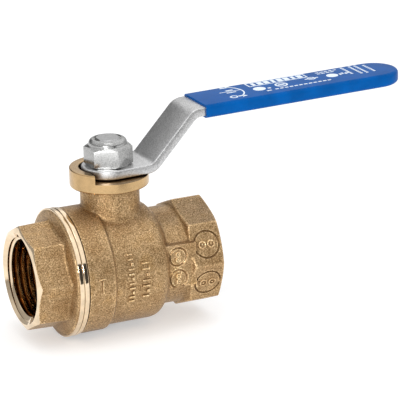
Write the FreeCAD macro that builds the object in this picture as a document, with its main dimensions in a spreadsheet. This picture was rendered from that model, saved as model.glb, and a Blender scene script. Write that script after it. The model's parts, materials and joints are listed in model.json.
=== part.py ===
"""Two-piece full-port ball valve with a lever, as a parametric FreeCAD document.

The origin is the centre of the ball. The flow runs along X, from the end cap at -X to the
outlet at +X, and the stem stands up along +Z. The lever lies along +X, over the outlet, when
the valve is open, which is how it is drawn. All lengths are in millimetres.
"""

import FreeCAD, Part
import math
import os
from types import SimpleNamespace

import Sketcher

Vector = FreeCAD.Vector

# Driving dimensions: one row of the sheet for each.
DIMENSIONS = {
    # Pipe ends and the way through
    "mouth_reach": 30.5,
    "pipe_bore_radius": 11.95,
    "pipe_bore_depth": 14.5,
    "mouth_chamfer": 1.5,
    "mouth_radius": 14.15,
    "port_radius": 9.6,
    # End cap
    "cap_flats": 30.6,
    "cap_turn": 4.5,
    "cap_draft": 1.5,
    "cap_wrench_end": 20.3,
    "cap_flange_start": 19.3,
    "cap_root_radius": 14.95,
    "cap_face_radius": 15.95,
    "seam": 17.3,
    "ring_radius": 19.9,
    "spigot_radius": 16.95,
    "spigot_end": 9.9,
    # Body
    "cavity_radius": 15.3,
    "cap_bore_radius": 17.0,
    "cap_shoulder": 9.3,
    "cavity_end": 7.6,
    "rim_width": 1.6,
    "line_width": 0.5,
    "line_depth": 0.4,
    "barrel_radius": 19.5,
    "barrel_end": 7.2,
    "waist_radius": 18.4,
    "waist_start": 5.2,
    "waist_end": 8.4,
    "shoulder_radius": 4.0,
    "collar_radius": 15.1,
    "body_wrench_start": 20.3,
    "body_flats": 31.8,
    "pad_reach": 15.6,
    "pad_top": 7.7,
    "pad_bottom": 5.9,
    "face_chamfer": 0.75,
    "face_chamfer_inset": 0.9,
    "face_chamfer_reach": 1.4,
    # Neck and stop flange
    "neck_radius": 9.1,
    "flange_bottom": 25.6,
    "flange_floor": 28.7,
    "flange_radius": 12.1,
    "stop_top": 31.4,
    "stop_inner_radius": 9.2,
    "stop_face": 8.2,
    # Ball and seats
    "ball_radius": 14.3,
    "ball_bore_radius": 9.5,
    "ball_slot_width": 5.0,
    "ball_slot_floor": 11.2,
    "seat_radius": 12.8,
    "seat_pocket_radius": 12.85,
    "seat_back": 12.4,
    "seat_front": 8.6,
    "seat_gap": 0.05,
    "seal_inner_radius": 15.4,
    # Stem
    "tang_width": 4.8,
    "tang_length": 9.6,
    "tang_bottom": 11.4,
    "stem_collar_radius": 6.5,
    "stem_collar_bottom": 14.6,
    "stem_collar_top": 17.0,
    "stem_radius": 5.0,
    "stem_hole_radius": 5.05,
    "stem_pocket_radius": 6.6,
    "stem_pocket_top": 18.0,
    "stem_shoulder": 29.0,
    "drive_radius": 4.6,
    "drive_flats": 6.6,
    "drive_top": 31.6,
    "thread_radius": 4.0,
    "stem_top": 40.3,
    "stem_chamfer": 0.5,
    "ring_groove_middle": 19.4,
    "ring_groove_radius": 3.95,
    "ring_groove_width": 1.3,
    "o_ring_middle_radius": 4.5,
    "o_ring_section_radius": 0.52,
    # Packing and gland
    "packing_bottom": 20.6,
    "packing_ring_height": 1.4,
    "packing_radius": 6.97,
    "packing_bore_radius": 5.03,
    "packing_v_depth": 0.6,
    "chamber_radius": 7.0,
    "gland_washer_height": 0.9,
    "gland_thread_bottom": 25.8,
    "gland_thread_radius": 7.4,
    "gland_nut_radius": 7.35,
    "gland_nut_top": 28.6,
    "gland_slot_width": 2.2,
    "gland_slot_depth": 1.2,
    # Lever and grip
    "plate": 2.8,
    "lever_base": 29.05,
    "eye_radius": 8.4,
    "lever_half_width": 7.6,
    "first_bend": 12.4,
    "bend_run": 14.3,
    "bend_rise": 15.25,
    "grip_tilt": 0.98,
    "bend_radius": 3.0,
    "lever_tip": 98.3,
    "drive_play": 0.05,
    "sleeve_start": 29.5,
    "sleeve_wall": 0.7,
    "sleeve_rounding": 1.3,
    # Lock nut
    "nut_flats": 13.0,
    "nut_turn": 2.75,
    "nut_height": 8.2,
    "nut_shoulder": 6.4,
    "nut_collar_radius": 5.9,
    "nut_bore_radius": 4.02,
    "nut_lead": 0.3,
    "nut_blank_radius": 7.8,
    "nut_chamfer_slope": 0.55,
    "nut_lip_radius": 4.7,
    "nut_lip_drop": 0.8,
    "insert_radius": 5.0,
    "insert_bottom": 6.5,
    "insert_height": 1.2,
    # Small allowances shared by several pieces
    "overrun": 1.0,
    "lap": 0.6,
    "edge_chamfer": 0.5,
    "ring_play": 0.03,
}

# Distance below which two places count as one, and how near an edge must lie to be picked.
SAME_PLACE = 1e-6
NEAR_EDGE = 0.01

doc = FreeCAD.newDocument("ball_valve")
sheet = doc.addObject("Spreadsheet::Sheet", "Sizes")


class Size:
    """A length that carries its value together with the sheet expression it comes from."""

    def __init__(self, text, value):
        self.text = text
        self.value = value

    def __add__(self, other):
        return joined(self, "+", other, self.value + as_size(other).value)

    def __sub__(self, other):
        return joined(self, "-", other, self.value - as_size(other).value)

    def __mul__(self, other):
        return joined(self, "*", other, self.value * as_size(other).value)

    def __truediv__(self, other):
        return joined(self, "/", other, self.value / as_size(other).value)

    def __neg__(self):
        return Size(f"(-{self.text})", -self.value)


def as_size(value):
    """Take a plain number as a size."""
    return value if isinstance(value, Size) else Size(f"({value:g})", float(value))


def joined(left, sign, right, value):
    """Join two sizes under one arithmetic sign."""
    return Size(f"({left.text} {sign} {as_size(right).text})", value)


def along(radius, angle):
    """Point at an angle in degrees on a circle about the sketch origin."""
    turn = as_size(angle)
    radians = math.radians(turn.value)
    return (
        Size(f"({radius.text} * cos({turn.text} * 1deg))", radius.value * math.cos(radians)),
        Size(f"({radius.text} * sin({turn.text} * 1deg))", radius.value * math.sin(radians)),
    )


def root_of_squares(long_side, short_side):
    """Third side of a right triangle whose longest side and one other side are known."""
    value = math.sqrt(long_side.value ** 2 - short_side.value ** 2)
    return Size(f"sqrt({long_side.text} ^ 2 - {short_side.text} ^ 2)", value)


def fill_sheet():
    """Write the driving dimensions to the sheet and hand them back as sizes."""
    for row, (name, value) in enumerate(DIMENSIONS.items(), start=1):
        sheet.set(f"A{row}", name)
        sheet.set(f"B{row}", f"{value:g}")
        sheet.setAlias(f"B{row}", name)
    doc.recompute()
    return SimpleNamespace(**{n: Size(f"Sizes.{n}", sheet.get(n)) for n in DIMENSIONS})


s = fill_sheet()
ZERO = as_size(0)
SUBPARTS = []


# ---------------------------------------------------------------- modelling helpers

def bind(thing, path, size):
    """Drive one property of an object from the sheet."""
    thing.setExpression(path, as_size(size).text)


def new_body(name):
    """Start a sub-part whose label is also its file name."""
    body = doc.addObject("PartDesign::Body", name)
    body.Label = name
    SUBPARTS.append(body)
    return body


def new_sketch(body, name, role, offset=ZERO, turn=None):
    """Sketch on an origin plane of the body, moved along the plane's normal."""
    sketch = body.newObject("Sketcher::SketchObject", name)
    plane = next(p for p in body.Origin.OriginFeatures if p.Role == role)
    sketch.AttachmentSupport = [(plane, "")]
    sketch.MapMode = "FlatFace"
    bind(sketch, "AttachmentOffset.Base.z", offset)
    if turn is not None:
        bind(sketch, "AttachmentOffset.Rotation.Angle", turn)
    return sketch


def pin_point(sketch, edge, end, x=None, y=None):
    """Hold one point of a sketch edge at a place measured from the sketch origin."""
    for kind, size, axis in (("DistanceX", x, -2), ("DistanceY", y, -1)):
        if size is None:
            continue
        place = as_size(size)
        if abs(place.value) < SAME_PLACE:
            sketch.addConstraint(Sketcher.Constraint("PointOnObject", edge, end, axis))
        elif place.value > 0:
            rule = Sketcher.Constraint(kind, -1, 1, edge, end, place.value)
            bind(sketch, f"Constraints[{sketch.addConstraint(rule)}]", place)
        else:
            rule = Sketcher.Constraint(kind, edge, end, -1, 1, -place.value)
            bind(sketch, f"Constraints[{sketch.addConstraint(rule)}]", -place)


def arc_about(centre, start, finish, leftward):
    """Arc edge from start to finish about a centre, turning left or right."""
    radius = (start - centre).Length
    circle = Part.Circle(centre, Vector(0, 0, 1), radius)
    first, last = (start, finish) if leftward else (finish, start)
    angles = [math.atan2(p.y - centre.y, p.x - centre.x) for p in (first, last)]
    if angles[1] <= angles[0]:
        angles[1] += 2 * math.pi
    return Part.ArcOfCircle(circle, angles[0], angles[1])


def outline(sketch, corners):
    """Close a loop through the corners.

    A corner is (x, y) where a straight edge leaves it, or (x, y, centre x, centre y, leftward)
    where an arc does. The arc's two ends are held by the corners, and its centre by the one
    distance that the ends leave free.
    """
    base = sketch.GeometryCount
    spots = [Vector(as_size(c[0]).value, as_size(c[1]).value, 0) for c in corners]
    heads = []
    for number, corner in enumerate(corners):
        start = spots[number]
        finish = spots[(number + 1) % len(spots)]
        if len(corner) == 2:
            sketch.addGeometry(Part.LineSegment(start, finish), False)
            heads.append(1)
        else:
            centre = Vector(as_size(corner[2]).value, as_size(corner[3]).value, 0)
            sketch.addGeometry(arc_about(centre, start, finish, corner[4]), False)
            heads.append(1 if corner[4] else 2)
    for number, corner in enumerate(corners):
        edge = base + number
        following = base + (number + 1) % len(corners)
        following_head = heads[(number + 1) % len(corners)]
        tail = 3 - heads[number]
        sketch.addConstraint(Sketcher.Constraint("Coincident", edge, tail, following, following_head))
        pin_point(sketch, edge, heads[number], corner[0], corner[1])
        if len(corner) > 2:
            chord = spots[(number + 1) % len(spots)] - spots[number]
            if abs(chord.y) > abs(chord.x):
                pin_point(sketch, edge, 3, x=corner[2])
            else:
                pin_point(sketch, edge, 3, y=corner[3])
    return sketch


def disc(sketch, radius, x=ZERO, y=ZERO):
    """Circle of a given radius about (x, y)."""
    centre = Vector(as_size(x).value, as_size(y).value, 0)
    edge = sketch.addGeometry(Part.Circle(centre, Vector(0, 0, 1), radius.value), False)
    rule = Sketcher.Constraint("Radius", edge, radius.value)
    bind(sketch, f"Constraints[{sketch.addConstraint(rule)}]", radius)
    pin_point(sketch, edge, 3, x, y)
    return sketch


def oblong(sketch, left, right, bottom, top):
    """Upright rectangle."""
    return outline(sketch, [(left, bottom), (right, bottom), (right, top), (left, top)])


def regular(sketch, sides, flats, turn=0):
    """Regular polygon given across its flats, with one corner at the given angle."""
    corner_radius = Size(
        f"({flats.text} / 2 / cos({180 / sides:g}deg))",
        flats.value / 2 / math.cos(math.pi / sides),
    )
    step = 360 / sides
    return outline(sketch, [along(corner_radius, as_size(turn) + step * k) for k in range(sides)])


def raised(body, name, sketch, length, backwards=False, both_ways=False, draft=None):
    """Pad a sketch."""
    pad = body.newObject("PartDesign::Pad", name)
    pad.Profile = sketch
    pad.Reversed = backwards
    if both_ways:
        pad.SideType = "Symmetric"
    bind(pad, "Length", length)
    if draft is not None:
        bind(pad, "TaperAngle", draft)
    return pad


def cut_away(body, name, sketch, length, backwards=False, both_ways=False):
    """Pocket a sketch, and make sure that it takes something away."""
    doc.recompute()
    before = body.Shape.Volume
    pocket = body.newObject("PartDesign::Pocket", name)
    pocket.Profile = sketch
    pocket.Reversed = backwards
    if both_ways:
        pocket.SideType = "Symmetric"
    bind(pocket, "Length", length)
    doc.recompute()
    if not body.Shape.Volume < before - 1e-3:
        raise RuntimeError(f"{body.Label}: {name} cuts nothing")
    return pocket


def turned(body, name, sketch, axis="H_Axis"):
    """Revolve a half section about a sketch axis."""
    turn = body.newObject("PartDesign::Revolution", name)
    turn.Profile = sketch
    turn.ReferenceAxis = (sketch, [axis])
    turn.Angle = 360
    return turn


def turned_away(body, name, sketch, axis="H_Axis"):
    """Cut a revolved half section, and make sure that it takes something away."""
    doc.recompute()
    before = body.Shape.Volume
    groove = body.newObject("PartDesign::Groove", name)
    groove.Profile = sketch
    groove.ReferenceAxis = (sketch, [axis])
    groove.Angle = 360
    doc.recompute()
    if not body.Shape.Volume < before - 1e-3:
        raise RuntimeError(f"{body.Label}: {name} cuts nothing")
    return groove


def edge_names(shape, wanted):
    """Names of the edges for which the test holds."""
    return [f"Edge{i}" for i, edge in enumerate(shape.Edges, start=1) if wanted(edge)]


def rounded(body, name, base, wanted, radius):
    """Fillet the edges of a feature that pass the test."""
    doc.recompute()
    names = edge_names(base.Shape, wanted)
    if not names:
        raise RuntimeError(f"{body.Label}: {name} finds no edge")
    fillet = body.newObject("PartDesign::Fillet", name)
    fillet.Base = (base, names)
    bind(fillet, "Radius", radius)
    return fillet


def upright_ring(name, inner, outer, bottom, top):
    """Plain ring about the stem, turned from a square section."""
    body = new_body(name)
    section = new_sketch(body, f"{name}_section", "XZ_Plane")
    oblong(section, inner, outer, bottom, top)
    turned(body, f"{name}_turning", section, "V_Axis")
    return body


# ---------------------------------------------------------------- body and end cap

def chamfer_face(body, face, depth, half_flats):
    """Turn off the corners of a wrench octagon where they meet its end face."""
    section = new_sketch(body, "face_chamfer_section", "XZ_Plane")
    outer = half_flats + s.face_chamfer_reach
    outline(section, [(face, half_flats - s.face_chamfer_inset), (face, outer), (depth, outer)])
    turned_away(body, "face_chamfer_cut", section)


def build_valve_body():
    """Forged body: barrel, outlet octagon, neck, stop flange and the cavity for the ball."""
    body = new_body("valve_body")
    seam = -s.seam
    rim_end = seam + s.rim_width
    line_end = rim_end + s.line_width
    section = new_sketch(body, "barrel_section", "XZ_Plane")
    shoulder_drop = s.waist_radius - s.shoulder_radius
    outline(section, [
        (seam, ZERO),
        (seam, s.ring_radius),
        (rim_end, s.ring_radius),
        (rim_end, s.barrel_radius - s.line_depth),
        (line_end, s.barrel_radius - s.line_depth),
        (line_end, s.barrel_radius),
        (-s.barrel_end, s.barrel_radius),
        (-s.waist_start, s.waist_radius),
        (s.waist_end, s.waist_radius, s.waist_end, shoulder_drop, False),
        (s.waist_end + s.shoulder_radius, shoulder_drop),
        (s.waist_end + s.shoulder_radius, ZERO),
    ])
    turned(body, "barrel", section)

    collar = new_sketch(body, "collar_circle", "YZ_Plane", s.waist_end)
    disc(collar, s.collar_radius)
    raised(body, "collar", collar, s.body_wrench_start - s.waist_end + s.lap)

    pad_sketch = new_sketch(body, "pad_outline", "XZ_Plane")
    oblong(pad_sketch, s.waist_end, s.body_wrench_start + s.lap, -s.pad_bottom, s.pad_top)
    raised(body, "pad", pad_sketch, s.pad_reach)

    wrench = new_sketch(body, "wrench_octagon", "YZ_Plane", s.body_wrench_start)
    regular(wrench, 8, s.body_flats, 90)
    raised(body, "wrench_end", wrench, s.mouth_reach - s.body_wrench_start)

    neck = new_sketch(body, "neck_circle", "XY_Plane")
    disc(neck, s.neck_radius)
    raised(body, "neck", neck, s.flange_bottom + s.lap)

    flange = new_sketch(body, "flange_circle", "XY_Plane", s.flange_bottom)
    disc(flange, s.flange_radius)
    raised(body, "flange", flange, s.stop_top - s.flange_bottom)

    dish = new_sketch(body, "dish_circle", "XY_Plane", s.flange_floor)
    disc(dish, s.stop_inner_radius)
    cut_away(body, "dish", dish, s.stop_top - s.flange_floor + s.overrun, backwards=True)

    swing = new_sketch(body, "lever_swing", "XY_Plane", s.flange_floor)
    far = s.flange_radius + s.overrun
    outline(swing, [
        (-s.stop_face, -far),
        (far, -far),
        (far, s.stop_face),
        (ZERO, s.stop_face),
        (ZERO, ZERO),
        (-s.stop_face, ZERO),
    ])
    cut_away(body, "stop_gap", swing, s.stop_top - s.flange_floor + s.overrun, backwards=True)

    chamfer_face(body, s.mouth_reach, s.mouth_reach - s.face_chamfer, s.body_flats / 2)

    cavity = new_sketch(body, "cavity_section", "XZ_Plane")
    bore_start = s.mouth_reach - s.pipe_bore_depth
    outline(cavity, [
        (seam - s.overrun, ZERO),
        (seam - s.overrun, s.cap_bore_radius),
        (-s.cap_shoulder, s.cap_bore_radius),
        (-s.cap_shoulder, s.cavity_radius),
        (s.cavity_end, s.cavity_radius),
        (s.cavity_end, s.seat_pocket_radius),
        (s.seat_back, s.seat_pocket_radius),
        (s.seat_back, s.port_radius),
        (bore_start, s.port_radius),
        (bore_start, s.pipe_bore_radius),
        (s.mouth_reach - s.mouth_chamfer, s.pipe_bore_radius),
        (s.mouth_reach, s.mouth_radius),
        (s.mouth_reach + s.overrun, s.mouth_radius),
        (s.mouth_reach + s.overrun, ZERO),
    ])
    turned_away(body, "cavity", cavity)

    stem_way = new_sketch(body, "stem_way_section", "XZ_Plane")
    outline(stem_way, [
        (ZERO, ZERO),
        (s.stem_pocket_radius, ZERO),
        (s.stem_pocket_radius, s.stem_pocket_top),
        (s.stem_hole_radius, s.stem_pocket_top),
        (s.stem_hole_radius, s.packing_bottom),
        (s.chamber_radius, s.packing_bottom),
        (s.chamber_radius, s.gland_thread_bottom),
        (s.gland_thread_radius, s.gland_thread_bottom),
        (s.gland_thread_radius, s.flange_floor + s.overrun),
        (ZERO, s.flange_floor + s.overrun),
    ])
    turned_away(body, "stem_way", stem_way, "V_Axis")
    return body


def build_end_cap():
    """Forged end cap: inlet octagon, flange ring, and the spigot that screws into the body."""
    body = new_body("end_cap")
    section = new_sketch(body, "cap_section", "XZ_Plane")
    outline(section, [
        (-s.cap_wrench_end - s.overrun, ZERO),
        (-s.cap_wrench_end - s.overrun, s.cap_root_radius),
        (-s.cap_wrench_end, s.cap_face_radius),
        (-s.cap_flange_start, s.ring_radius - s.edge_chamfer),
        (-s.cap_flange_start + s.edge_chamfer, s.ring_radius),
        (-s.seam, s.ring_radius),
        (-s.seam, s.spigot_radius),
        (-s.spigot_end - s.edge_chamfer, s.spigot_radius),
        (-s.spigot_end, s.spigot_radius - s.edge_chamfer),
        (-s.spigot_end, ZERO),
    ])
    turned(body, "cap_turning", section)

    wrench = new_sketch(body, "cap_octagon", "YZ_Plane", -s.mouth_reach)
    regular(wrench, 8, s.cap_flats, as_size(90) - s.cap_turn)
    raised(body, "cap_wrench_end_pad", wrench, s.mouth_reach - s.cap_wrench_end + s.lap, draft=s.cap_draft)

    chamfer_face(body, -s.mouth_reach, -s.mouth_reach + s.face_chamfer, s.cap_flats / 2)

    way = new_sketch(body, "cap_way_section", "XZ_Plane")
    bore_end = -s.mouth_reach + s.pipe_bore_depth
    outline(way, [
        (-s.mouth_reach - s.overrun, ZERO),
        (-s.mouth_reach - s.overrun, s.mouth_radius),
        (-s.mouth_reach, s.mouth_radius),
        (-s.mouth_reach + s.mouth_chamfer, s.pipe_bore_radius),
        (bore_end, s.pipe_bore_radius),
        (bore_end, s.port_radius),
        (-s.seat_back, s.port_radius),
        (-s.seat_back, s.seat_pocket_radius),
        (-s.spigot_end + s.overrun, s.seat_pocket_radius),
        (-s.spigot_end + s.overrun, ZERO),
    ])
    turned_away(body, "cap_way", way)
    return body


def build_body_seal_ring():
    """Flat ring squeezed between the cap's spigot and the body's shoulder."""
    body = new_body("body_seal_ring")
    section = new_sketch(body, "body_seal_section", "XZ_Plane")
    oblong(section, -s.spigot_end, -s.cap_shoulder, s.seal_inner_radius, s.spigot_radius)
    turned(body, "body_seal_turning", section)
    return body


# ---------------------------------------------------------------- ball and seats

def build_ball():
    """Ball with a full-size bore along the flow and a slot across its top for the tang."""
    sphere = doc.addObject("Part::Sphere", "ball_sphere")
    bind(sphere, "Radius", s.ball_radius)
    bore = doc.addObject("Part::Cylinder", "ball_bore")
    bind(bore, "Radius", s.ball_bore_radius)
    bind(bore, "Height", (s.ball_radius + s.overrun) * 2)
    bore.Placement.Rotation = FreeCAD.Rotation(Vector(0, 1, 0), 90)
    bind(bore, "Placement.Base.x", -s.ball_radius - s.overrun)
    slot = doc.addObject("Part::Box", "ball_slot")
    bind(slot, "Length", s.ball_slot_width)
    bind(slot, "Width", s.ball_radius * 2)
    bind(slot, "Height", s.ball_radius - s.ball_slot_floor + s.overrun)
    bind(slot, "Placement.Base.x", -s.ball_slot_width / 2)
    bind(slot, "Placement.Base.y", -s.ball_radius)
    bind(slot, "Placement.Base.z", s.ball_slot_floor)
    bored = doc.addObject("Part::Cut", "bored_ball")
    bored.Base = sphere
    bored.Tool = bore
    ball = doc.addObject("Part::Cut", "slotted_ball")
    ball.Base = bored
    ball.Tool = slot
    ball.Label = "ball"
    SUBPARTS.append(ball)
    return ball


def build_seat(name, side):
    """Seat ring whose inner corner is hollowed to the ball."""
    body = new_body(name)
    section = new_sketch(body, f"{name}_section", "XZ_Plane")
    hollow = s.ball_radius + s.seat_gap
    deep = root_of_squares(hollow, s.port_radius)
    high = root_of_squares(hollow, s.seat_front)
    outline(section, [
        (s.seat_back * side, s.port_radius),
        (deep * side, s.port_radius, ZERO, ZERO, side > 0),
        (s.seat_front * side, high),
        (s.seat_front * side, s.seat_radius),
        (s.seat_back * side, s.seat_radius),
    ])
    turned(body, f"{name}_turning", section)
    return body


# ---------------------------------------------------------------- stem, packing and gland

def build_stem():
    """Stem: tang in the ball, collar under the body's shoulder, drive flats and threaded end."""
    body = new_body("stem")
    section = new_sketch(body, "stem_section", "XZ_Plane")
    groove_low = s.ring_groove_middle - s.ring_groove_width / 2
    groove_high = s.ring_groove_middle + s.ring_groove_width / 2
    outline(section, [
        (ZERO, s.stem_collar_bottom),
        (s.stem_collar_radius, s.stem_collar_bottom),
        (s.stem_collar_radius, s.stem_collar_top),
        (s.stem_radius, s.stem_collar_top),
        (s.stem_radius, groove_low),
        (s.ring_groove_radius, groove_low),
        (s.ring_groove_radius, groove_high),
        (s.stem_radius, groove_high),
        (s.stem_radius, s.stem_shoulder),
        (s.drive_radius, s.stem_shoulder),
        (s.drive_radius, s.drive_top),
        (s.thread_radius, s.drive_top),
        (s.thread_radius, s.stem_top - s.stem_chamfer),
        (s.thread_radius - s.stem_chamfer, s.stem_top),
        (ZERO, s.stem_top),
    ])
    turned(body, "stem_turning", section, "V_Axis")
    tang = new_sketch(body, "tang_outline", "XY_Plane", s.tang_bottom)
    oblong(tang, -s.tang_width / 2, s.tang_width / 2, -s.tang_length / 2, s.tang_length / 2)
    raised(body, "tang", tang, s.stem_collar_bottom - s.tang_bottom + s.lap)
    for side, name in ((1, "drive_flat_front"), (-1, "drive_flat_back")):
        flat = new_sketch(body, f"{name}_outline", "XY_Plane", s.stem_shoulder)
        inner = s.drive_flats / 2 * side
        reach = s.stem_radius + s.overrun
        outer = reach * side
        low, high = (inner, outer) if side > 0 else (outer, inner)
        oblong(flat, low, high, -reach, reach)
        cut_away(body, name, flat, s.stem_top - s.stem_shoulder + s.overrun, backwards=True)
    return body


def build_stem_o_ring():
    """O-ring in the stem's groove."""
    ring = doc.addObject("Part::Torus", "o_ring_torus")
    bind(ring, "Radius1", s.o_ring_middle_radius)
    bind(ring, "Radius2", s.o_ring_section_radius)
    bind(ring, "Placement.Base.z", s.ring_groove_middle)
    ring.Label = "stem_o_ring"
    SUBPARTS.append(ring)
    return ring


def build_thrust_washer():
    """Washer between the stem's collar and the body."""
    bore = s.stem_hole_radius + s.ring_play
    return upright_ring("thrust_washer", bore, s.stem_collar_radius, s.stem_collar_top, s.stem_pocket_top)


def build_packing():
    """Three packing rings that nest in one another through shallow vees."""
    middle = (s.packing_bore_radius + s.packing_radius) / 2
    floor = s.packing_bottom
    dip = s.packing_v_depth
    for number, name in enumerate(("lower_packing_ring", "middle_packing_ring", "upper_packing_ring")):
        body = new_body(name)
        section = new_sketch(body, f"{name}_section", "XZ_Plane")
        bottom = floor + s.packing_ring_height * number
        top = bottom + s.packing_ring_height
        corners = [(s.packing_bore_radius, bottom)]
        if number > 0:
            corners.append((middle, bottom + dip))
        corners.append((s.packing_radius, bottom))
        corners.append((s.packing_radius, top))
        if number < 2:
            corners.append((middle, top + dip))
        corners.append((s.packing_bore_radius, top))
        outline(section, corners)
        turned(body, f"{name}_turning", section, "V_Axis")


def build_gland():
    """Follower washer, and the slotted nut that presses it on the packing."""
    washer_top = s.gland_thread_bottom
    washer_bore = s.packing_bore_radius + s.ring_play
    washer_bottom = washer_top - s.gland_washer_height
    upright_ring("gland_washer", washer_bore, s.packing_radius, washer_bottom, washer_top)
    nut = upright_ring("gland_nut", washer_bore, s.gland_nut_radius, washer_top, s.gland_nut_top)
    slot = new_sketch(nut, "gland_slot_outline", "XY_Plane", s.gland_nut_top)
    reach = s.gland_nut_radius + s.overrun
    oblong(slot, -reach, reach, -s.gland_slot_width / 2, s.gland_slot_width / 2)
    cut_away(nut, "gland_slot", slot, s.gland_slot_depth)


# ---------------------------------------------------------------- lever, grip and nut

def lever_levels():
    """Heights and run-outs of the bent plate: base, second bend and grip."""
    second = s.first_bend + s.bend_run
    slope = Size(f"tan({s.grip_tilt.text} * 1deg)", math.tan(math.radians(s.grip_tilt.value)))
    return SimpleNamespace(base=s.lever_base, second=second, grip=s.lever_base + s.bend_rise, slope=slope)


def build_lever():
    """Plate lever: round eye on the stem, a cranked rise and a straight grip."""
    body = new_body("lever")
    level = lever_levels()
    lean = math.atan2(s.bend_rise.value, s.bend_run.value)
    first_shift = s.plate * round(math.tan(lean / 2), 4)
    tilt = math.radians(s.grip_tilt.value)
    second_shift = s.plate * round(math.tan((lean - tilt) / 2), 4)
    side = new_sketch(body, "lever_side", "XZ_Plane")
    tip_rise = (s.lever_tip - level.second) * level.slope
    second_back = level.second - second_shift
    outline(side, [
        (-s.eye_radius, level.base),
        (s.first_bend, level.base),
        (level.second, level.grip),
        (s.lever_tip, level.grip + tip_rise),
        (s.lever_tip, level.grip + tip_rise + s.plate),
        (second_back, level.grip + s.plate - second_shift * level.slope),
        (s.first_bend - first_shift, level.base + s.plate),
        (-s.eye_radius, level.base + s.plate),
    ])
    blank = raised(body, "bent_plate", side, s.eye_radius * 2, both_ways=True)

    def bend_edges(concave):
        """Test for the pair of bend lines on the inside or the outside of the bends."""
        spots = [
            (level.second.value, level.grip.value),
            (s.first_bend.value - first_shift.value, level.base.value + s.plate.value),
        ] if concave else [
            (s.first_bend.value, level.base.value),
            (second_back.value, level.grip.value + s.plate.value),
        ]

        def is_bend(edge):
            middle = edge.CenterOfMass
            across = edge.Length > s.eye_radius.value
            return across and any(math.hypot(middle.x - x, middle.z - z) < NEAR_EDGE * 10 for x, z in spots)

        return is_bend

    inside = rounded(body, "inner_bends", blank, bend_edges(True), s.bend_radius)
    outside = rounded(body, "outer_bends", inside, bend_edges(False), s.bend_radius + s.plate)
    doc.recompute()

    trim = new_sketch(body, "lever_outline", "XY_Plane")
    lean_in = math.degrees(math.asin((s.eye_radius.value - s.lever_half_width.value) / s.first_bend.value))
    touch = along(s.eye_radius, round(90 - lean_in, 3))
    round_start = s.lever_tip - s.lever_half_width
    outer = s.eye_radius + s.overrun
    far_left = -s.eye_radius - s.overrun
    far_right = s.lever_tip + s.overrun
    outline(trim, [(far_left, -outer), (far_right, -outer), (far_right, outer), (far_left, outer)])
    outline(trim, [
        (touch[0], touch[1]),
        (s.first_bend, s.lever_half_width),
        (round_start, s.lever_half_width, round_start, ZERO, False),
        (round_start, -s.lever_half_width),
        (s.first_bend, -s.lever_half_width),
        (touch[0], -touch[1], ZERO, ZERO, False),
    ])
    cut_away(body, "lever_trim", trim, s.stem_top * 2, backwards=True)

    hole = new_sketch(body, "drive_hole", "XY_Plane", level.base - s.overrun)
    flat = s.drive_flats / 2 + s.drive_play
    rim = s.drive_radius + s.drive_play
    corner = root_of_squares(rim, flat)
    outline(hole, [
        (flat, -corner),
        (flat, corner, ZERO, ZERO, True),
        (-flat, corner),
        (-flat, -corner, ZERO, ZERO, True),
    ])
    cut_away(body, "drive_hole_cut", hole, s.plate + s.overrun * 2, backwards=True)
    return body


def build_grip_sleeve():
    """Dipped sleeve: closed at the tip, square at the open end, hollow for the plate."""
    body = new_body("grip_sleeve")
    level = lever_levels()
    start = s.sleeve_start
    length = s.lever_tip + s.sleeve_wall - start
    half = s.lever_half_width + s.sleeve_wall
    full = s.plate + s.sleeve_wall * 2
    bend = length - half
    skin = new_sketch(body, "sleeve_outline", "XY_Plane")
    outline(skin, [
        (ZERO, -half),
        (bend, -half, bend, ZERO, True),
        (bend, half),
        (ZERO, half),
    ])
    pad = raised(body, "sleeve_skin", skin, full, both_ways=True)

    def is_rim(edge):
        middle = edge.CenterOfMass
        return abs(middle.z) > full.value / 2 - NEAR_EDGE and middle.x > NEAR_EDGE

    rounded(body, "sleeve_rounding_edges", pad, is_rim, s.sleeve_rounding)
    doc.recompute()
    core = new_sketch(body, "sleeve_hollow_outline", "XY_Plane")
    inner = s.lever_half_width
    outline(core, [
        (-s.overrun, -inner),
        (bend, -inner, bend, ZERO, True),
        (bend, inner),
        (-s.overrun, inner),
    ])
    cut_away(body, "sleeve_hollow", core, s.plate, both_ways=True)
    body.Placement.Rotation = FreeCAD.Rotation(Vector(0, 1, 0), -s.grip_tilt.value)
    bind(body, "Placement.Base.x", start)
    bind(body, "Placement.Base.z", level.grip + s.plate / 2 + (start - level.second) * level.slope)
    return body


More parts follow.
